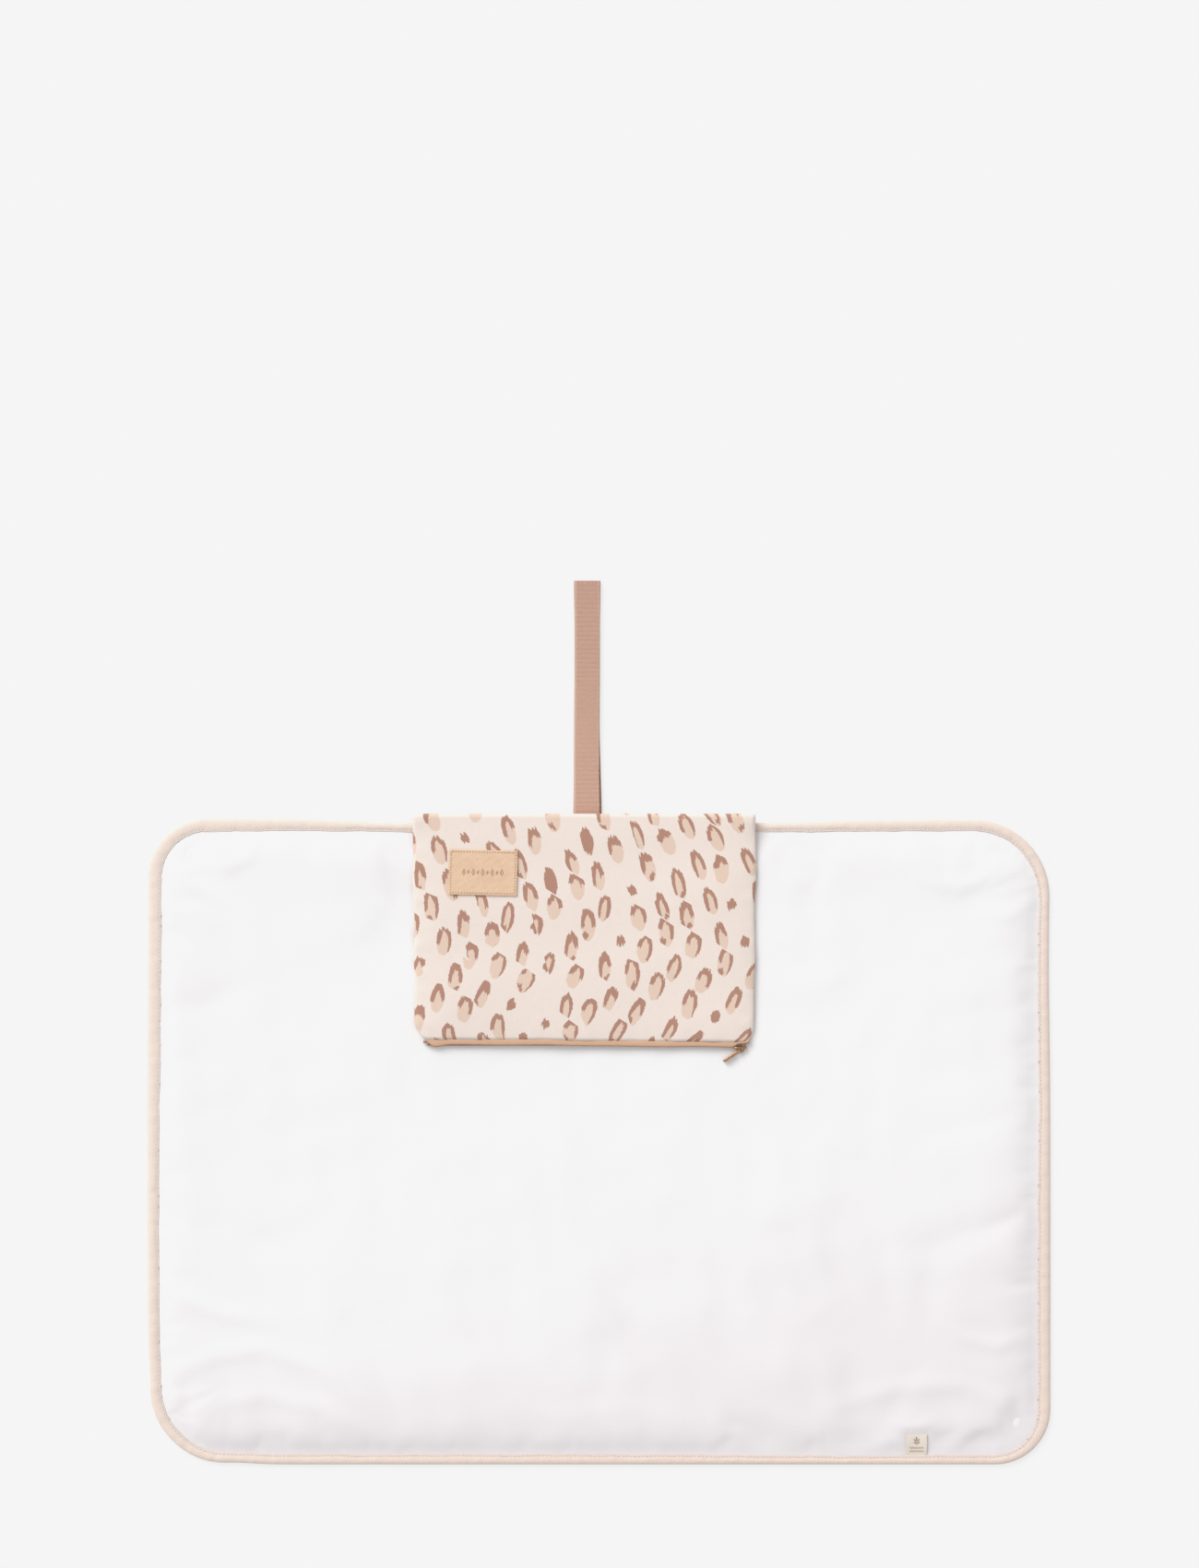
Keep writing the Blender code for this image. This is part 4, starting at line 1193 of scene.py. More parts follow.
def geometryTree(name, sockets):
    tree = bpy.data.node_groups.new(name, "GeometryNodeTree")
    tree.interface.new_socket("Geometry", in_out="INPUT", socket_type="NodeSocketGeometry")
    for label, kind in sockets.items():
        tree.interface.new_socket(label, in_out="INPUT", socket_type="NodeSocket" + kind)
    tree.interface.new_socket("Geometry", in_out="OUTPUT", socket_type="NodeSocketGeometry")
    start = tree.nodes.new("NodeGroupInput")
    end = tree.nodes.new("NodeGroupOutput")
    given = {s.name: Wire(tree, s) for s in start.outputs if s.name}
    return tree, given, end


def closeTree(tree, shape, material, end):
    real = node(tree, "GeometryNodeRealizeInstances", {0: shape})
    soft = node(tree, "GeometryNodeSetShadeSmooth", {0: real.outputs[0]})
    done = node(tree, "GeometryNodeSetMaterial", {"Geometry": soft.outputs[0], "Material": material})
    tree.links.new(done.outputs[0], end.inputs[0])


def runTree(thing, tree, values, name):
    step = thing.modifiers.new("nodes", "NODES")
    step.node_group = tree
    for item in tree.interface.items_tree:
        if item.item_type == "SOCKET" and item.in_out == "INPUT" and item.name in values:
            step[item.identifier] = values[item.name]
    return settled(thing, name)


def stitchTree():
    # short threads laid end to end along a line
    sockets = {"Pitch": "Float", "Length": "Float", "Thickness": "Float", "Thread": "Material"}
    tree, given, end = geometryTree("stitchRow", sockets)
    path = node(tree, "GeometryNodeMeshToCurve", {0: given["Geometry"]})
    spaced = node(tree, "GeometryNodeResampleCurve", mode="LENGTH")
    plug(tree, path.outputs[0], spaced.inputs["Curve"])
    plug(tree, given["Pitch"], spaced.inputs["Length"])
    ball = node(tree, "GeometryNodeMeshUVSphere", {"Segments": 6, "Rings": 5, "Radius": 0.5})
    size = join(tree, given["Length"], given["Thickness"], given["Thickness"])
    capsule = node(tree, "GeometryNodeTransform", {"Geometry": ball.outputs[0], "Scale": size})
    ahead = node(tree, "GeometryNodeInputTangent")
    turn = node(tree, "FunctionNodeAlignRotationToVector", {"Vector": ahead.outputs[0]}, axis="X")
    chance = node(tree, "FunctionNodeRandomValue", {2: -0.05, 3: 0.05, "Seed": 4}, data_type="FLOAT")
    askew = node(tree, "FunctionNodeAxisAngleToRotation", {"Axis": (0.0, 0.0, 1.0),
                 "Angle": chance.outputs[1]})
    both = node(tree, "FunctionNodeRotateRotation", {0: turn.outputs[0], 1: askew.outputs[0]},
                rotation_space="LOCAL")
    row = node(tree, "GeometryNodeInstanceOnPoints", {"Points": spaced.outputs[0],
               "Instance": capsule.outputs[0], "Rotation": both.outputs[0]})
    closeTree(tree, row.outputs[0], given["Thread"], end)
    return tree


def coilTree():
    # a zip's nylon coil: a flattened helix along X
    sockets = {"Start": "Vector", "Length": "Float", "Turns": "Float", "Deep": "Float",
               "Thickness": "Float", "Flatten": "Float", "Nylon": "Material"}
    tree, given, end = geometryTree("zipCoil", sockets)
    helix = node(tree, "GeometryNodeCurveSpiral", {"Resolution": 10})
    plug(tree, given["Turns"], helix.inputs["Rotations"])
    plug(tree, given["Deep"], helix.inputs["Start Radius"])
    plug(tree, given["Deep"], helix.inputs["End Radius"])
    plug(tree, given["Length"], helix.inputs["Height"])
    squash = node(tree, "GeometryNodeTransform", {"Geometry": helix.outputs[0]})
    plug(tree, join(tree, given["Flatten"], 1.0, 1.0), squash.inputs["Scale"])
    lay = node(tree, "GeometryNodeTransform", {"Geometry": squash.outputs[0],
               "Rotation": (0.0, math.pi / 2, 0.0), "Translation": given["Start"]})
    ring = node(tree, "GeometryNodeCurvePrimitiveCircle", {"Resolution": 6})
    plug(tree, given["Thickness"] * 0.5, ring.inputs["Radius"])
    wire = node(tree, "GeometryNodeCurveToMesh", {"Curve": lay.outputs[0],
                "Profile Curve": ring.outputs[0], "Fill Caps": True})
    closeTree(tree, wire.outputs[0], given["Nylon"], end)
    return tree


def ribTree():
    # raises ribs across a band, at right angles to the "run" measured along it
    sockets = {"Pitch": "Float", "Depth": "Float", "Cloth": "Material"}
    tree, given, end = geometryTree("bandRibs", sockets)
    run = node(tree, "GeometryNodeInputNamedAttribute", {"Name": "run"}, data_type="FLOAT")
    turn = Wire(tree, run.outputs[0]) * (2 * math.pi) / given["Pitch"]
    wave = maths(tree, "SINE", turn) * given["Depth"]
    up = node(tree, "GeometryNodeInputNormal")
    shift = node(tree, "ShaderNodeVectorMath", {0: up.outputs[0], "Scale": wave}, operation="SCALE")
    ribs = node(tree, "GeometryNodeSetPosition",
                {"Geometry": given["Geometry"], "Offset": shift.outputs[0]})
    closeTree(tree, ribs.outputs[0], given["Cloth"], end)
    return tree


def holeTree():
    # presses a round hole into a surface at each point of a line
    sockets = {"Holes": "Object", "Radius": "Float", "Depth": "Float", "Leather": "Material"}
    tree, given, end = geometryTree("sewingHoles", sockets)
    line = node(tree, "GeometryNodeObjectInfo", {"Object": given["Holes"]})
    near = node(tree, "GeometryNodeProximity", target_element="POINTS")
    plug(tree, line.outputs["Geometry"], near.inputs[0])
    gap = Wire(tree, near.outputs["Distance"])
    inside = maths(tree, "SUBTRACT", 1.0, gap / given["Radius"], clamp=True)
    deep = inside * inside * (3.0 - 2.0 * inside) * given["Depth"]
    pressed = node(tree, "GeometryNodeSetPosition", {"Geometry": given["Geometry"],
                   "Offset": join(tree, 0.0, 0.0, deep * -1.0)})
    closeTree(tree, pressed.outputs[0], given["Leather"], end)
    return tree


pouch = {
    "x": -0.0118,
    "foldY": 0.2546,
    "mouthY": 0.0792,
    "left": -0.1448,
    "right": 0.1213,
    "taper": 0.0020,
    "cornerY": 0.0125,      # how far above the mouth the lower corners start to pull in
    "cornerIn": 0.0072,
    "middleZ": 0.0095,
    "halfThick": 0.0030,
    "sideRound": 0.0034,
    "foldRound": 0.0030,
    "cloth": 0.0008,
    "cell": 0.0026,
    "edgeDrop": 0.0019,     # how much lower the front lies at the sides and the mouth
    "sag": 0.0019,          # how far the mouth hangs lower at its right end
}
pouch["wide"] = pouch["right"] - pouch["left"]


def mouthSag(x):
    # the mouth's line: highest at its left end
    return 0.0006 - pouch["sag"] * smooth((x + 0.12) / 0.24) + 0.0002 * wander(x, (0.11, 0.06), 63)


def pouchSides(y):
    # the pouch's left and right edges at each y
    look = pouch
    down = (look["foldY"] - y) / (look["foldY"] - look["mouthY"])
    low = np.clip((look["mouthY"] + look["cornerY"] - y) / look["cornerY"], 0, 1)
    top = np.clip((y - look["foldY"] + 0.0035) / 0.0035, 0, 1)
    pull = look["cornerIn"] * low ** 1.9 + 0.0011 * top ** 2
    left = look["left"] + look["taper"] * down + pull + 0.0004 * wander(y, (0.09, 0.05), 61)
    right = look["right"] - look["taper"] * down - pull * 0.82 + 0.0004 * wander(y, (0.08, 0.06), 62)
    return left, right


def edgeSpacing(total, cell, start, end):
    # stations from 0 to total, closer together near the ends that are rounded
    near = np.array([0.0, 0.0001, 0.0003, 0.0006, 0.0010, 0.0015, 0.0021, 0.0028, 0.0038])
    first = near if start else near[:1]
    last = total - (near[::-1] if end else near[:1])
    middle = spacedBetween(first[-1], last[0], cell)[1:-1]
    return np.concatenate([first, middle, last])


def roundOff(d, radius):
    return np.sqrt(np.clip(1 - (1 - np.clip(d / radius, 0, 1)) ** 2, 0, 1))


def pouchSurface(across, along, side):
    # a point of the front (side 1) or back (side -1) panel; along runs from the mouth to the fold
    look = pouch
    y = look["mouthY"] + along
    left, right = pouchSides(y)
    wide = right - left
    x = left + across / look["wide"] * wide
    scale = wide / look["wide"]
    fromSide = np.minimum(across, look["wide"] - across) * scale
    fromFold = look["foldY"] - y
    y = y + mouthSag(x) * (1 - smooth(along / 0.05))
    nearSide = np.exp(-np.maximum(fromSide - 0.002, 0) / 0.011)
    nearMouth = np.exp(-np.maximum(along, 0) / 0.012)
    edge = np.maximum(nearSide, nearMouth) * smooth(fromFold / 0.02)
    middle = look["middleZ"] - look["edgeDrop"] / 2 * edge
    full = look["halfThick"] - look["edgeDrop"] / 2 * edge
    thick = full * roundOff(fromSide, look["sideRound"]) * roundOff(fromFold, look["foldRound"])
    body = smooth(fromSide / 0.03) * smooth(fromFold / 0.03)
    slump = 0.00030 * ripple(x, y, 0.075, 71 if side > 0 else 72) * body
    gathers = 0.00022 * wander(y, (0.012, 0.019, 0.031), 73) * np.exp(-((fromSide - 0.004) / 0.006) ** 2)
    drag = 0.00020 * wander(x, (0.014, 0.023, 0.037), 74) * np.exp(-(along / 0.010) ** 2)
    loose = slump * (1 if side > 0 else 0.5) + (gathers + drag) * smooth(fromSide / 0.002)
    return x, y, middle + side * (thick + loose)


def makePanel(name, side):
    look = pouch
    us = edgeSpacing(look["wide"], look["cell"], True, True)
    vs = edgeSpacing(look["foldY"] - look["mouthY"], look["cell"], False, True)
    u, v = np.meshgrid(us, vs)
    x, y, z = pouchSurface(u.ravel(), v.ravel(), side)
    faces = gridFaces(len(vs), len(us))
    flatU = u.ravel() + look["left"]
    flatV = v.ravel() + look["mouthY"] if side > 0 else look["foldY"] * 2 - look["mouthY"] - v.ravel()
    panel = makeObject(name, np.stack([x, y, z], 1), faces, looks["print"], np.stack([flatU, flatV], 1))
    if side < 0:
        panel.data.flip_normals()
    thicken(panel, look["cloth"])
    return panel


def makePouch():
    look = pouch
    flat = (look["wide"], look["foldY"] - look["mouthY"])
    for name, side, stands in (("pouchFrontPanel", 1, "pouch_front"), ("pouchBackPanel", -1, "pouch_back")):
        panel = makePanel(name, side)
        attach(panel, "pouch")
        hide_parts(stands)
    for label, side in (("Front", 1), ("Back", -1)):
        us = spacedBetween(0.006, look["wide"] - 0.006, 0.006)
        vs = spacedBetween(0.0105, flat[1] - 0.006, 0.006)
        u, v = np.meshgrid(us, vs)
        x, y, z = pouchSurface(u.ravel(), v.ravel(), side)
        z = z - side * (0.0013 + 0.0002 * (1 + ripple(x, y, 0.03, 81)))
        lining = makeObject("pouchLining" + label, np.stack([x, y, z], 1), gridFaces(len(vs), len(us)),
                            looks["lining"], np.stack([x, y], 1))
        if side > 0:
            lining.data.flip_normals()
        thicken(lining, 0.0003)
        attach(lining, "pouch")
        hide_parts("pouch_lining_" + label.lower())
    makeHingeStrip()
    print("pouch ready")


def makeHingeStrip():
    # the strip of cloth that the pouch hangs from, sewn into the mat's top edge
    low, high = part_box("pouch_hinge_strip")
    xs = spacedBetween(low.x, high.x, 0.004)
    heights = np.array([0.4, 0.9, 1.5, 2.2, 3.0, 3.8, 4.6, 5.4, 6.1, 6.8]) / 1000
    x, z = np.meshgrid(xs, heights)
    x, z = x.ravel(), z.ravel()
    belly = np.sin(np.clip((z - 0.0004) / 0.0064, 0, 1) * math.pi)
    y = low.y + 0.0006 + 0.0007 * belly + 0.00015 * wander(x, (0.02, 0.031), 91)
    uv = np.stack([x, z + 0.26], 1)
    strip = makeObject("hingeCloth", np.stack([x, y, z], 1), gridFaces(len(heights), len(xs)),
                       looks["print"], uv)
    strip.data.flip_normals()
    thicken(strip, 0.0006)
    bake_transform(strip, "mat_centre", "pouch", (0, high.y, 0.0010), (0, high.y, 0.0063))
    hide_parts("pouch_hinge_strip")


zipLook = {
    "leftX": -0.1350,
    "rightX": 0.1160,
    "faceY": 0.0750,
    "coilPitch": 0.00125,
    "coilDeep": 0.00078,
    "coilWire": 0.00050,
    "coilZ": 0.00078,       # from the zip's middle
    "middleZ": 0.0086,
    "shrink": 0.70,         # the tape's height over its full one, as it is pressed flat
}


def tapeSection(side):
    # the folded tape's section as (y past its face, height from the zip's middle)
    outer = [(9.2, 2.02), (4.75, 2.10), (4.45, 2.62), (3.9, 2.92), (3.0, 3.02), (1.9, 3.04), (0.9, 2.86),
             (0.25, 2.45), (0.0, 1.95), (0.05, 1.55)]
    inner = [(0.50, 1.50), (0.62, 1.90), (1.0, 2.28), (1.9, 2.45), (3.2, 2.42), (4.2, 2.0), (4.8, 1.78),
             (9.2, 1.74)]
    return [(a / 1000, side * b / 1000) for a, b in outer + inner]


def makeZip():
    look = zipLook
    xs = spacedBetween(look["leftX"], look["rightX"], 0.0018)
    endShare = np.clip((look["leftX"] + 0.0085 - xs) / 0.0085, 0, 1)
    rise = 0.0052 * endShare ** 2.0
    bulge = 0.0017 * np.exp(-(((xs - look["leftX"] - 0.0075) / 0.0068) ** 2))
    rightEnd = smooth((xs - look["rightX"] + 0.0135) / 0.006)
    sag = mouthSag(xs)
    for label, side in (("Front", 1), ("Back", -1)):
        section = tapeSection(side)
        rings = []
        for back, height in section:
            share = max(1 - back / 0.0046, 0.0)
            y = look["faceY"] + back + rise * (0.25 + 0.75 * share) - bulge * share + sag
            y = y + 0.00008 * wander(xs, (0.0043, 0.0071, 0.011), 101) * share
            y = y + 0.0030 * rightEnd * share + 0.0012 * smooth((xs - look["rightX"] + 0.004) / 0.004)
            z = look["middleZ"] + height * look["shrink"] * (1 - 0.35 * endShare ** 2 - 0.12 * rightEnd)
            rings.append(np.stack([xs, y, z], 1))
        size, count = len(section), len(xs)
        points = np.stack(rings, 1).reshape(-1, 3)
        run = np.repeat(xs, size)
        across = np.tile(np.cumsum([0.0006] * size), count)
        tape = makeObject("zipTape" + label, points, tubeFaces(count, size), looks["tape"],
                          np.stack([run, across], 1))
        outwardFaces(tape)
        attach(tape, "pouch")
        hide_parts("zip_tape_" + label.lower())
        low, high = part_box("zip_teeth_" + label.lower())
        start = Vector((low.x + 0.0006, (low.y + high.y) / 2 + 0.0004,
                        look["middleZ"] + side * look["coilZ"]))
        length = high.x - low.x - 0.0012
        phase = 0.0 if side > 0 else look["coilPitch"] / 2
        start.x += phase
        values = {"Start": tuple(start), "Length": length - phase, "Deep": look["coilDeep"],
                  "Turns": (length - phase) / look["coilPitch"], "Thickness": look["coilWire"],
                  "Flatten": 0.86, "Nylon": looks["nylon"]}
        seed = makeLine("seed", [(0, 0, 0), (0, 0, 0.001)])
        coil = runTree(seed, coilTree(), values, "zipCoil" + label)
        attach(coil, "pouch")
        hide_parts("zip_teeth_" + label.lower())
    low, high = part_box("zip_stop_left")
    for side, x in (("left", (low.x + high.x) / 2), ("right", look["rightX"] - 0.0012)):
        stop = cutPlate("stop", ovalLoop(1.3, 0.9, 0.5), [], 0.0030, 0.00035, looks["nylon"],
                        Matrix.Identity(3), Vector((x, 0.0778, look["middleZ"])))
        stop.name = "zipStop" + side.title()
        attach(stop, "pouch")
        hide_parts("zip_stop_" + side)
    print("zip ready")


def cutPlate(name, outline, holes, thick, rounding, material, turn, place):
    # a flat stamped plate with soft edges, its outline in millimetres
    curve = bpy.data.curves.new(name, "CURVE")
    curve.dimensions = "2D"
    curve.fill_mode = "BOTH"
    curve.extrude = thick * 500 - rounding * 1000
    curve.bevel_depth = rounding * 1000
    curve.bevel_resolution = 2
    curve.offset = -rounding * 1000
    for loop in (outline, *holes):
        spline = curve.splines.new("POLY")
        spline.points.add(len(loop) - 1)
        for point, (a, b) in zip(spline.points, loop):
            point.co = (a, b, 0, 1)
        spline.use_cyclic_u = True
    holder = bpy.data.objects.new(name, curve)
    collection.objects.link(holder)
    plate = settled(holder, name)
    work = bmesh.new()
    work.from_mesh(plate.data)
    bmesh.ops.remove_doubles(work, verts=work.verts, dist=0.002)
    bmesh.ops.recalc_face_normals(work, faces=work.faces)
    work.to_mesh(plate.data)
    work.free()
    plate.data.transform(Matrix.Scale(0.001, 4))
    plate.data.transform(turn.to_4x4())
    plate.data.transform(Matrix.Translation(place))
    plate.data.materials.clear()
    plate.data.materials.append(material)
    plate.data.shade_smooth()
    plate.data.set_sharp_from_angle(angle=math.radians(38))
    return plate


def ovalLoop(halfA, halfB, corner, midA=0.0, midB=0.0, steps=6):
    # a rounded rectangle's points, in millimetres
    points = []
    for quarter, (sa, sb) in enumerate(((1, 1), (-1, 1), (-1, -1), (1, -1))):
        for i in range(steps + 1):
            angle = math.pi / 2 * (quarter + i / steps)
            points.append((midA + sa * (halfA - corner) + corner * math.cos(angle),
                           midB + sb * (halfB - corner) + corner * math.sin(angle)))
    return points


def mergePieces(name, things):
    # joins meshes into one object
    work = bmesh.new()
    for thing in things:
        work.from_mesh(thing.data)
    mesh = bpy.data.meshes.new(name)
    work.to_mesh(mesh)
    work.free()
    mesh.materials.append(things[0].data.materials[0])
    for thing in things:
        bpy.data.objects.remove(thing, do_unlink=True)
    made = bpy.data.objects.new(name, mesh)
    collection.objects.link(made)
    mesh.set_sharp_from_angle(angle=math.radians(38))
    return made


sliderLook = {                   # the plates' outline is in millimetres
    "frontOut": 0.0045,          # the front plate's middle, out from the back edge
    "frontThick": 0.0013,
    "backThick": 0.0011,
    "backLong": 0.86,            # the back plate's size over the front one's
    "backWide": 0.66,
    "bridgeFoot": 0.0048,        # the bridge's feet, out from the back edge
    "bridgeHalf": 0.0028,
    "bridgeRise": 0.0030,
    "bridgeRadius": 0.00050,
    "bridgeDeep": 0.00072,
}


def makeSlider():
    # a shield-shaped front plate, a back plate, the post between them and the bridge for the pull
    look = sliderLook
    low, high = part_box("zip_slider")
    middleX = (low.x + high.x) / 2
    middleZ = zipLook["middleZ"]
    upright = Matrix(((1, 0, 0), (0, 0, -1), (0, 1, 0)))    # a flat outline turned to face -Y
    halfLong = (high.x - low.x) * 500
    edge = [(-halfLong, 1.85), (-halfLong + 0.5, 2.15), (-1.2, 2.2), (halfLong - 2.4, 2.0),
            (halfLong - 0.7, 1.4), (halfLong, 0.6)]
    shield = [(a, -b) for a, b in edge] + edge[::-1]
    front = Vector((middleX, high.y - look["frontOut"], middleZ))
    pieces = [cutPlate("front", shield, [], look["frontThick"], 0.00035, looks["metal"], upright, front)]
    back = Vector((middleX, high.y - 0.0006, middleZ))
    smaller = [(a * look["backLong"], b * look["backWide"]) for a, b in shield]
    pieces.append(cutPlate("back", smaller, [], look["backThick"], 0.00025, looks["metal"], upright, back))
    post = Vector((middleX + halfLong / 1000 - 0.0026, high.y - 0.0021, middleZ))
    pieces.append(cutPlate("post", ovalLoop(1.3, 0.28, 0.2), [], 0.0034, 0.00008, looks["metal"],
                           upright, post))
    path = []
    for i in range(13):
        angle = math.pi * i / 12
        out = look["bridgeRise"] * math.sin(angle) ** 0.6
        path.append((middleX - look["bridgeHalf"] * math.cos(angle),
                     high.y - look["bridgeFoot"] - out, middleZ))
    pieces.append(tube("bridge", path, look["bridgeRadius"], look["bridgeDeep"]))
    slider = mergePieces("zipSliderBody", pieces)
    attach(slider, "zip_slider")
    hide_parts("zip_slider")
    print("slider ready")


def tubeFaces(count, size):
    # the skin of a tube of count rings with size points each, closed at both ends
    faces = []
    for i in range(count - 1):
        here, after = i * size, (i + 1) * size
        faces += [(here + k, here + (k + 1) % size, after + (k + 1) % size, after + k)
                  for k in range(size)]
    return faces + [tuple(range(size)), tuple(range((count - 1) * size, count * size))[::-1]]


def tube(name, path, radius, halfDeep, sides=10):
    # a flat bar bent along a path in the XY plane
    path = np.array(path)
    rings = []
    for i, p in enumerate(path):
        ahead = path[min(i + 1, len(path) - 1)] - path[max(i - 1, 0)]
        ahead /= np.linalg.norm(ahead)
        aside = np.array((-ahead[1], ahead[0], 0.0))
        for k in range(sides):
            angle = 2 * math.pi * k / sides
            up = np.array((0, 0, halfDeep)) * math.sin(angle)
            rings.append(p + aside * radius * math.cos(angle) + up)
    made = makeObject(name, rings, tubeFaces(len(path), sides), looks["metal"])
    outwardFaces(made)
    return made


pull = {
    "long": 16.0,           # millimetres, as its widths
    "halfWide": 1.85,
    "waist": 1.50,
    "turn": 213.0,          # degrees
    "thick": 0.0018,
}


def makePull():
    # a slim stamped tongue with a slot for the bridge and a small hole at its end
    look = pull
    low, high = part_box("zip_slider")
    pivot = Vector(((low.x + high.x) / 2, low.y + 0.0014, zipLook["middleZ"]))
    long = look["long"]
    outline = []
    for i in range(25):
        t = i / 24
        a = -0.6 + (long + 0.6) * t
        flare = math.cos(2 * math.pi * min(t / 0.72, 1)) * 0.5 + 0.5
        wide = look["waist"] + (look["halfWide"] - look["waist"]) * flare
        tip = max(0.0, (t - 0.90) / 0.10)
        root = max(0.0, (0.07 - t) / 0.07)
        ends = math.sqrt(max(0.0, 1 - tip ** 2)) * math.sqrt(max(0.0, 1 - root ** 2))
        outline.append((a, max(wide * ends, 0.25)))
    outline += [(a, -b) for a, b in reversed(outline)]
    slot = ovalLoop(2.4, 1.00, 0.5, 3.1)
    eye = ovalLoop(0.75, 0.75, 0.74, long - 2.4, 0.0, 4)
    angle = math.radians(look["turn"])
    turn = Matrix.Rotation(angle, 3, "Z") @ Matrix(((1, 0, 0), (0, 0, -1), (0, 1, 0)))
    tongue = cutPlate("zipPullTongue", outline, [slot, eye], look["thick"], 0.00030, looks["metal"],
                      turn, pivot)
    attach(tongue, "zip_pull")
    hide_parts("zip_pull")
    print("pull ready")


label = {
    "x": -0.0900,
    "y": 0.2090,
    "wide": 0.0530,
    "deep": 0.0350,
    "low": 0.01268,
    "thick": 0.0012,
    "corner": 0.0013,
    "turn": -1.3,           # degrees
    "cell": 0.00036,
    "holeInset": 0.0016,
    "holePitch": 0.0022,
    "holeRadius": 0.00062,
    "holeDepth": 0.00042,
    "motifWide": 0.033,
    "motifCount": 9,
    "motifDepth": 0.00034,
}


def makeLabel():
    # sewn all round through punched holes, with a row of small diamonds pressed into it
    look = label
    halfW, halfD = look["wide"] / 2, look["deep"] / 2
    us = edgeSpacing(look["wide"], look["cell"], True, True) - halfW
    vs = edgeSpacing(look["deep"], look["cell"], True, True) - halfD
    u, v = (a.ravel() for a in np.meshgrid(us, vs))
    fromEdge = np.minimum(halfW - np.abs(u), halfD - np.abs(v))
    cu = np.clip(np.abs(u) - (halfW - look["corner"]), 0, None)
    cv = np.clip(np.abs(v) - (halfD - look["corner"]), 0, None)
    reach = np.hypot(cu, cv)
    over = np.maximum(reach / look["corner"], 1e-9)
    shrink = np.where((cu > 0) & (cv > 0) & (over > 1), 1 / over, 1)
    px = np.sign(u) * (np.abs(u) - cu + cu * shrink)
    py = np.sign(v) * (np.abs(v) - cv + cv * shrink)
    rim = np.where((cu > 0) & (cv > 0), np.maximum(look["corner"] - reach, 0), fromEdge)
    top = look["thick"] * (0.55 + 0.45 * roundOff(rim, 0.0006))
    top = top + 0.00005 * ripple(u, v, 0.004, 111) + 0.00010 * ripple(u, v, 0.028, 112)
    pitch = look["motifWide"] / look["motifCount"]
    nearest = np.clip(np.round(u / pitch), -(look["motifCount"] // 2), look["motifCount"] // 2)
    du = np.abs(u - nearest * pitch)
    big = np.where(nearest % 2 == 0, 1.0, 0.62)
    gap = du / (0.0016 * big) + np.abs(v) / (0.0032 * big)
    pressed = 1 - smooth((gap - 0.85) / 0.3)
    heart = 1 - smooth((gap - 0.25) / 0.25)
    pressed = pressed * (1 - 0.75 * heart * (big > 0.9))
    top = top - look["motifDepth"] * pressed
    faces = gridFaces(len(vs), len(us))
    count = len(u)
    points = np.concatenate([np.stack([px, py, top], 1), np.stack([px, py, np.zeros(count)], 1)])
    lower = [tuple(count + i for i in reversed(f)) for f in faces]
    sides = rimFaces(len(vs), len(us), count)
    uv = np.concatenate([np.stack([px, py], 1)] * 2)
    patch = makeObject("labelBlank", points, faces + lower + sides, looks["leather"], uv)
    tone = patch.data.attributes.new("pressed", "FLOAT", "POINT")
    holesAt = perimeter(halfW - look["holeInset"], halfD - look["holeInset"], look["holePitch"])
    away = np.full(count, 1.0)
    for hx, hy in holesAt:
        away = np.minimum(away, np.hypot(px - hx, py - hy))
    # the stamped motif is darker leather; round each sewing hole the leather is painted darker as the shade in
    # the hole
    shade = np.maximum(pressed, 1.7 * (1 - smooth(away / 0.00085)))
    tone.data.foreach_set("value", np.concatenate([shade, np.zeros(count)]).astype(np.float32))
    holes = makeLine("holes", [(a, b, look["thick"]) for a, b in holesAt])
    values = {"Holes": holes, "Radius": look["holeRadius"], "Depth": look["holeDepth"],
              "Leather": looks["leather"]}
    patch = runTree(patch, holeTree(), values, "leatherPatch")
    bpy.data.objects.remove(holes, do_unlink=True)
    lean = Matrix.Rotation(math.radians(look["turn"]), 4, "Z")
    turn = Matrix.Translation((look["x"], look["y"], look["low"])) @ lean
    patch.data.transform(turn)
    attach(patch, "pouch")
    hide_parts("leather_label")
    middles = perimeter(halfW - look["holeInset"], halfD - look["holeInset"], look["holePitch"], 0.5)
    line = makeLine("labelSeam", [(a, b, look["thick"] - 0.00012) for a, b in middles], closed=True)
    values = {"Pitch": look["holePitch"], "Length": 0.00165, "Thickness": 0.00036,
              "Thread": looks["tanThread"]}
    seam = runTree(line, stitchTree(), values, "labelStitches")
    seam.data.transform(turn)
    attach(seam, "pouch")
    print("label ready")


def perimeter(halfW, halfD, pitch, phase=0.0):
    # evenly spaced points round a rectangle
    total = 4 * (halfW + halfD)
    count = int(round(total / pitch))
    points = []
    for i in range(count):
        s = (i + phase) * total / count
        if s < 2 * halfW:
            points.append((-halfW + s, -halfD))
        elif s < 2 * halfW + 2 * halfD:
            points.append((halfW, -halfD + s - 2 * halfW))
        elif s < 4 * halfW + 2 * halfD:
            points.append((halfW - (s - 2 * halfW - 2 * halfD), halfD))
        else:
            points.append((-halfW, halfD - (s - 4 * halfW - 2 * halfD)))
    return points


def rimFaces(rows, columns, below):
    # quads round a grid's border, down to its copy
    border = list(range(columns))
    border += [r * columns + columns - 1 for r in range(1, rows)]
    border += [(rows - 1) * columns + c for c in range(columns - 2, -1, -1)]
    border += [r * columns for r in range(rows - 2, 0, -1)]
    pairs = zip(border, border[1:] + border[:1])
    return [(b, a, a + below, b + below) for a, b in pairs]


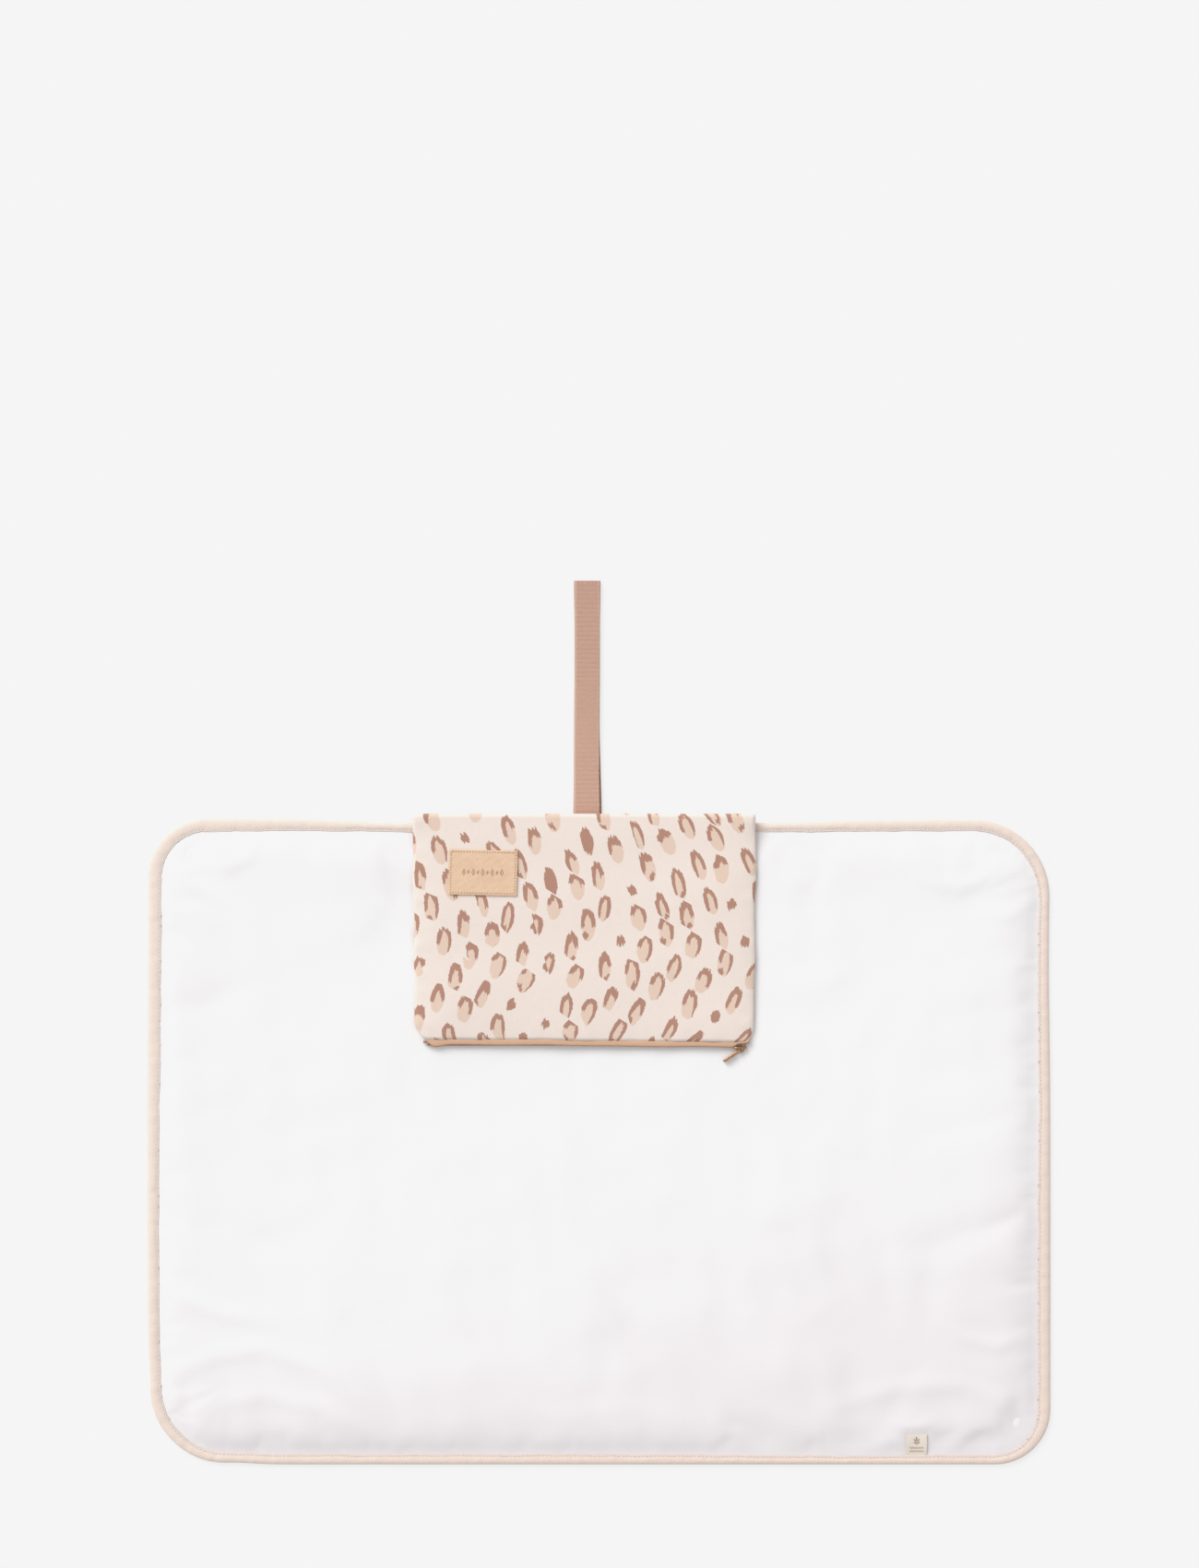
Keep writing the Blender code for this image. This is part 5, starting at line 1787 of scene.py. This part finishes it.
strapLook = {
    "x": -0.0100,
    "wide": 0.0205,
    "rootY": 0.2517,
    "endY": 0.4360,
    "upperZ": 0.00225,
    "lowerZ": 0.00085,
    "thick": 0.0010,
    "step": 0.00030,
    "columns": 14,
    "ribPitch": 0.00120,
    "ribDepth": 0.00007,
    "stray": 0.0015,        # how far the lower layer shows past the upper one at the root
}


def makeStrap():
    # one band of ribbed elastic folded back on itself; its lower layer shows a little at the root
    look = strapLook
    turnR = (look["upperZ"] - look["lowerZ"]) / 2
    middleZ = (look["upperZ"] + look["lowerZ"]) / 2
    topY = look["endY"] - turnR - look["thick"] / 2
    straight = topY - look["rootY"]
    bend = math.pi * turnR
    total = 2 * straight + bend
    s = spacedBetween(0.0, total, look["step"])
    back = np.clip(s - straight - bend, 0, None)
    angle = np.clip((s - straight) / turnR, 0, math.pi)
    y = np.where(s < straight, look["rootY"] + s, topY - back + turnR * np.sin(angle))
    z = middleZ + turnR * np.cos(angle)
    lower = smooth((s - straight) / bend)
    stray = look["stray"] * lower * (1 - smooth((y - look["rootY"] - 0.012) / 0.065))
    narrow = smooth((y - look["rootY"]) / 0.03) * (1 - smooth((y - 0.40) / 0.03))
    halfWide = look["wide"] / 2 - 0.0004 * narrow
    x0 = look["x"] + 0.0005 * smooth((y - 0.28) / 0.1) + stray
    free = (1 - lower) * smooth((y - 0.26) / 0.02) * smooth((topY - y) / 0.02)
    z = z + 0.00025 * wander(y, (0.11, 0.17), 121) * free
    across = np.linspace(-1, 1, look["columns"] + 1)
    grid, uv, run = [], [], []
    for i in range(len(s)):
        crown = 0.00012 * (1 - across ** 4)
        direction = math.cos(angle[i])
        grid.append(np.stack([x0[i] + across * halfWide[i], np.full_like(across, y[i]),
                              z[i] + crown * direction], 1))
        uv.append(np.stack([look["x"] + across * halfWide[i],
                            np.full_like(across, s[i] + look["rootY"])], 1))
        run.append(np.full_like(across, s[i]))
    points = np.concatenate(grid)
    columns = len(across)
    band = makeObject("band", points, gridFaces(len(s), columns), looks["elastic"], np.concatenate(uv))
    tag = band.data.attributes.new("run", "FLOAT", "POINT")
    tag.data.foreach_set("value", np.concatenate(run).astype(np.float32))
    values = {"Pitch": look["ribPitch"], "Depth": look["ribDepth"], "Cloth": looks["elastic"]}
    band = runTree(band, ribTree(), values, "strapBand")
    thicken(band, look["thick"])
    low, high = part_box("strap_root")
    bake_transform(band, "mat_centre", "strap", (0, low.y, 0), (0, high.y + 0.004, 0))
    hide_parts("strap_loop", "strap_root")
    print("strap ready")


tabLook = {
    "x": 0.2457,
    "wide": 0.0164,
    "rootY": -0.2446,
    "long": 0.0180,
    "sprigY": -0.2325,
    "lift": 0.00035,
    "thick": 0.0004,
    "leaves": ((0.0, 3.0, 90, 1.5, 0.62), (1.25, 1.6, 40, 1.5, 0.55), (-1.25, 1.6, 140, 1.5, 0.55),
               (1.35, -0.4, 35, 1.5, 0.55), (-1.35, -0.4, 145, 1.5, 0.55)),
}


def makeTab():
    # a woven tab that comes out from under the binding and lies up the cover's slope
    look = tabLook
    us = spacedBetween(-look["wide"] / 2, look["wide"] / 2, 0.0006)
    vs = spacedBetween(0.0, look["long"], 0.0006)
    u, v = (a.ravel() for a in np.meshgrid(us, vs))
    warp = 0.0006 * np.sin(v / look["long"] * math.pi * 0.9) * (u / look["wide"])
    x = look["x"] + u + 0.0003 * np.sin(v / look["long"] * math.pi)
    bow = 0.0003 * smooth(v / 0.01) * np.cos(u / look["wide"] * math.pi)
    y = look["rootY"] + v * (1 + 0.035 * u / look["wide"]) - bow
    d = inwards(x, y) - bindingWidth(x, y)
    curl = 0.00045 * smooth(v / 0.012) * (0.5 + np.abs(u) / look["wide"])
    z = coverHeight(d) + look["lift"] + np.abs(warp) + curl
    tab = makeObject("wovenTab", np.stack([x, y, z], 1), gridFaces(len(vs), len(us)), looks["tab"],
                     np.stack([look["x"] + u, look["rootY"] + v], 1))
    thicken(tab, look["thick"])
    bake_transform(tab, "right_wing", "care_tab", (0, look["rootY"] + 0.0005, 0), (0, look["rootY"] + 0.0065, 0))
    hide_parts("care_tab")
    print("tab ready")


looks = {
    "cover": coverCloth(),
    "print": printedCloth(),
    "binding": bindingCloth(),
    "wadding": waddingFluff(),
    "lining": clothShader("liningCloth", dye(238, 231, 222), 0.0004, 0.7),
    "tape": zipTapeCloth(),
    "nylon": thread("zipNylon", dye(184, 138, 112)),
    "metal": metal(),
    "leather": leather(),
    "elastic": elasticCloth(),
    "tab": wovenTab(),
    "creamThread": thread("creamThread", dye(240, 226, 216)),
    "tanThread": thread("tanThread", dye(210, 172, 140)),
}

setStudio()
makeTopCover()
makeBackCover()
makeWadding()
makeBinding()
makePouch()
makeZip()
makeSlider()
makePull()
makeLabel()
makeStrap()
makeTab()
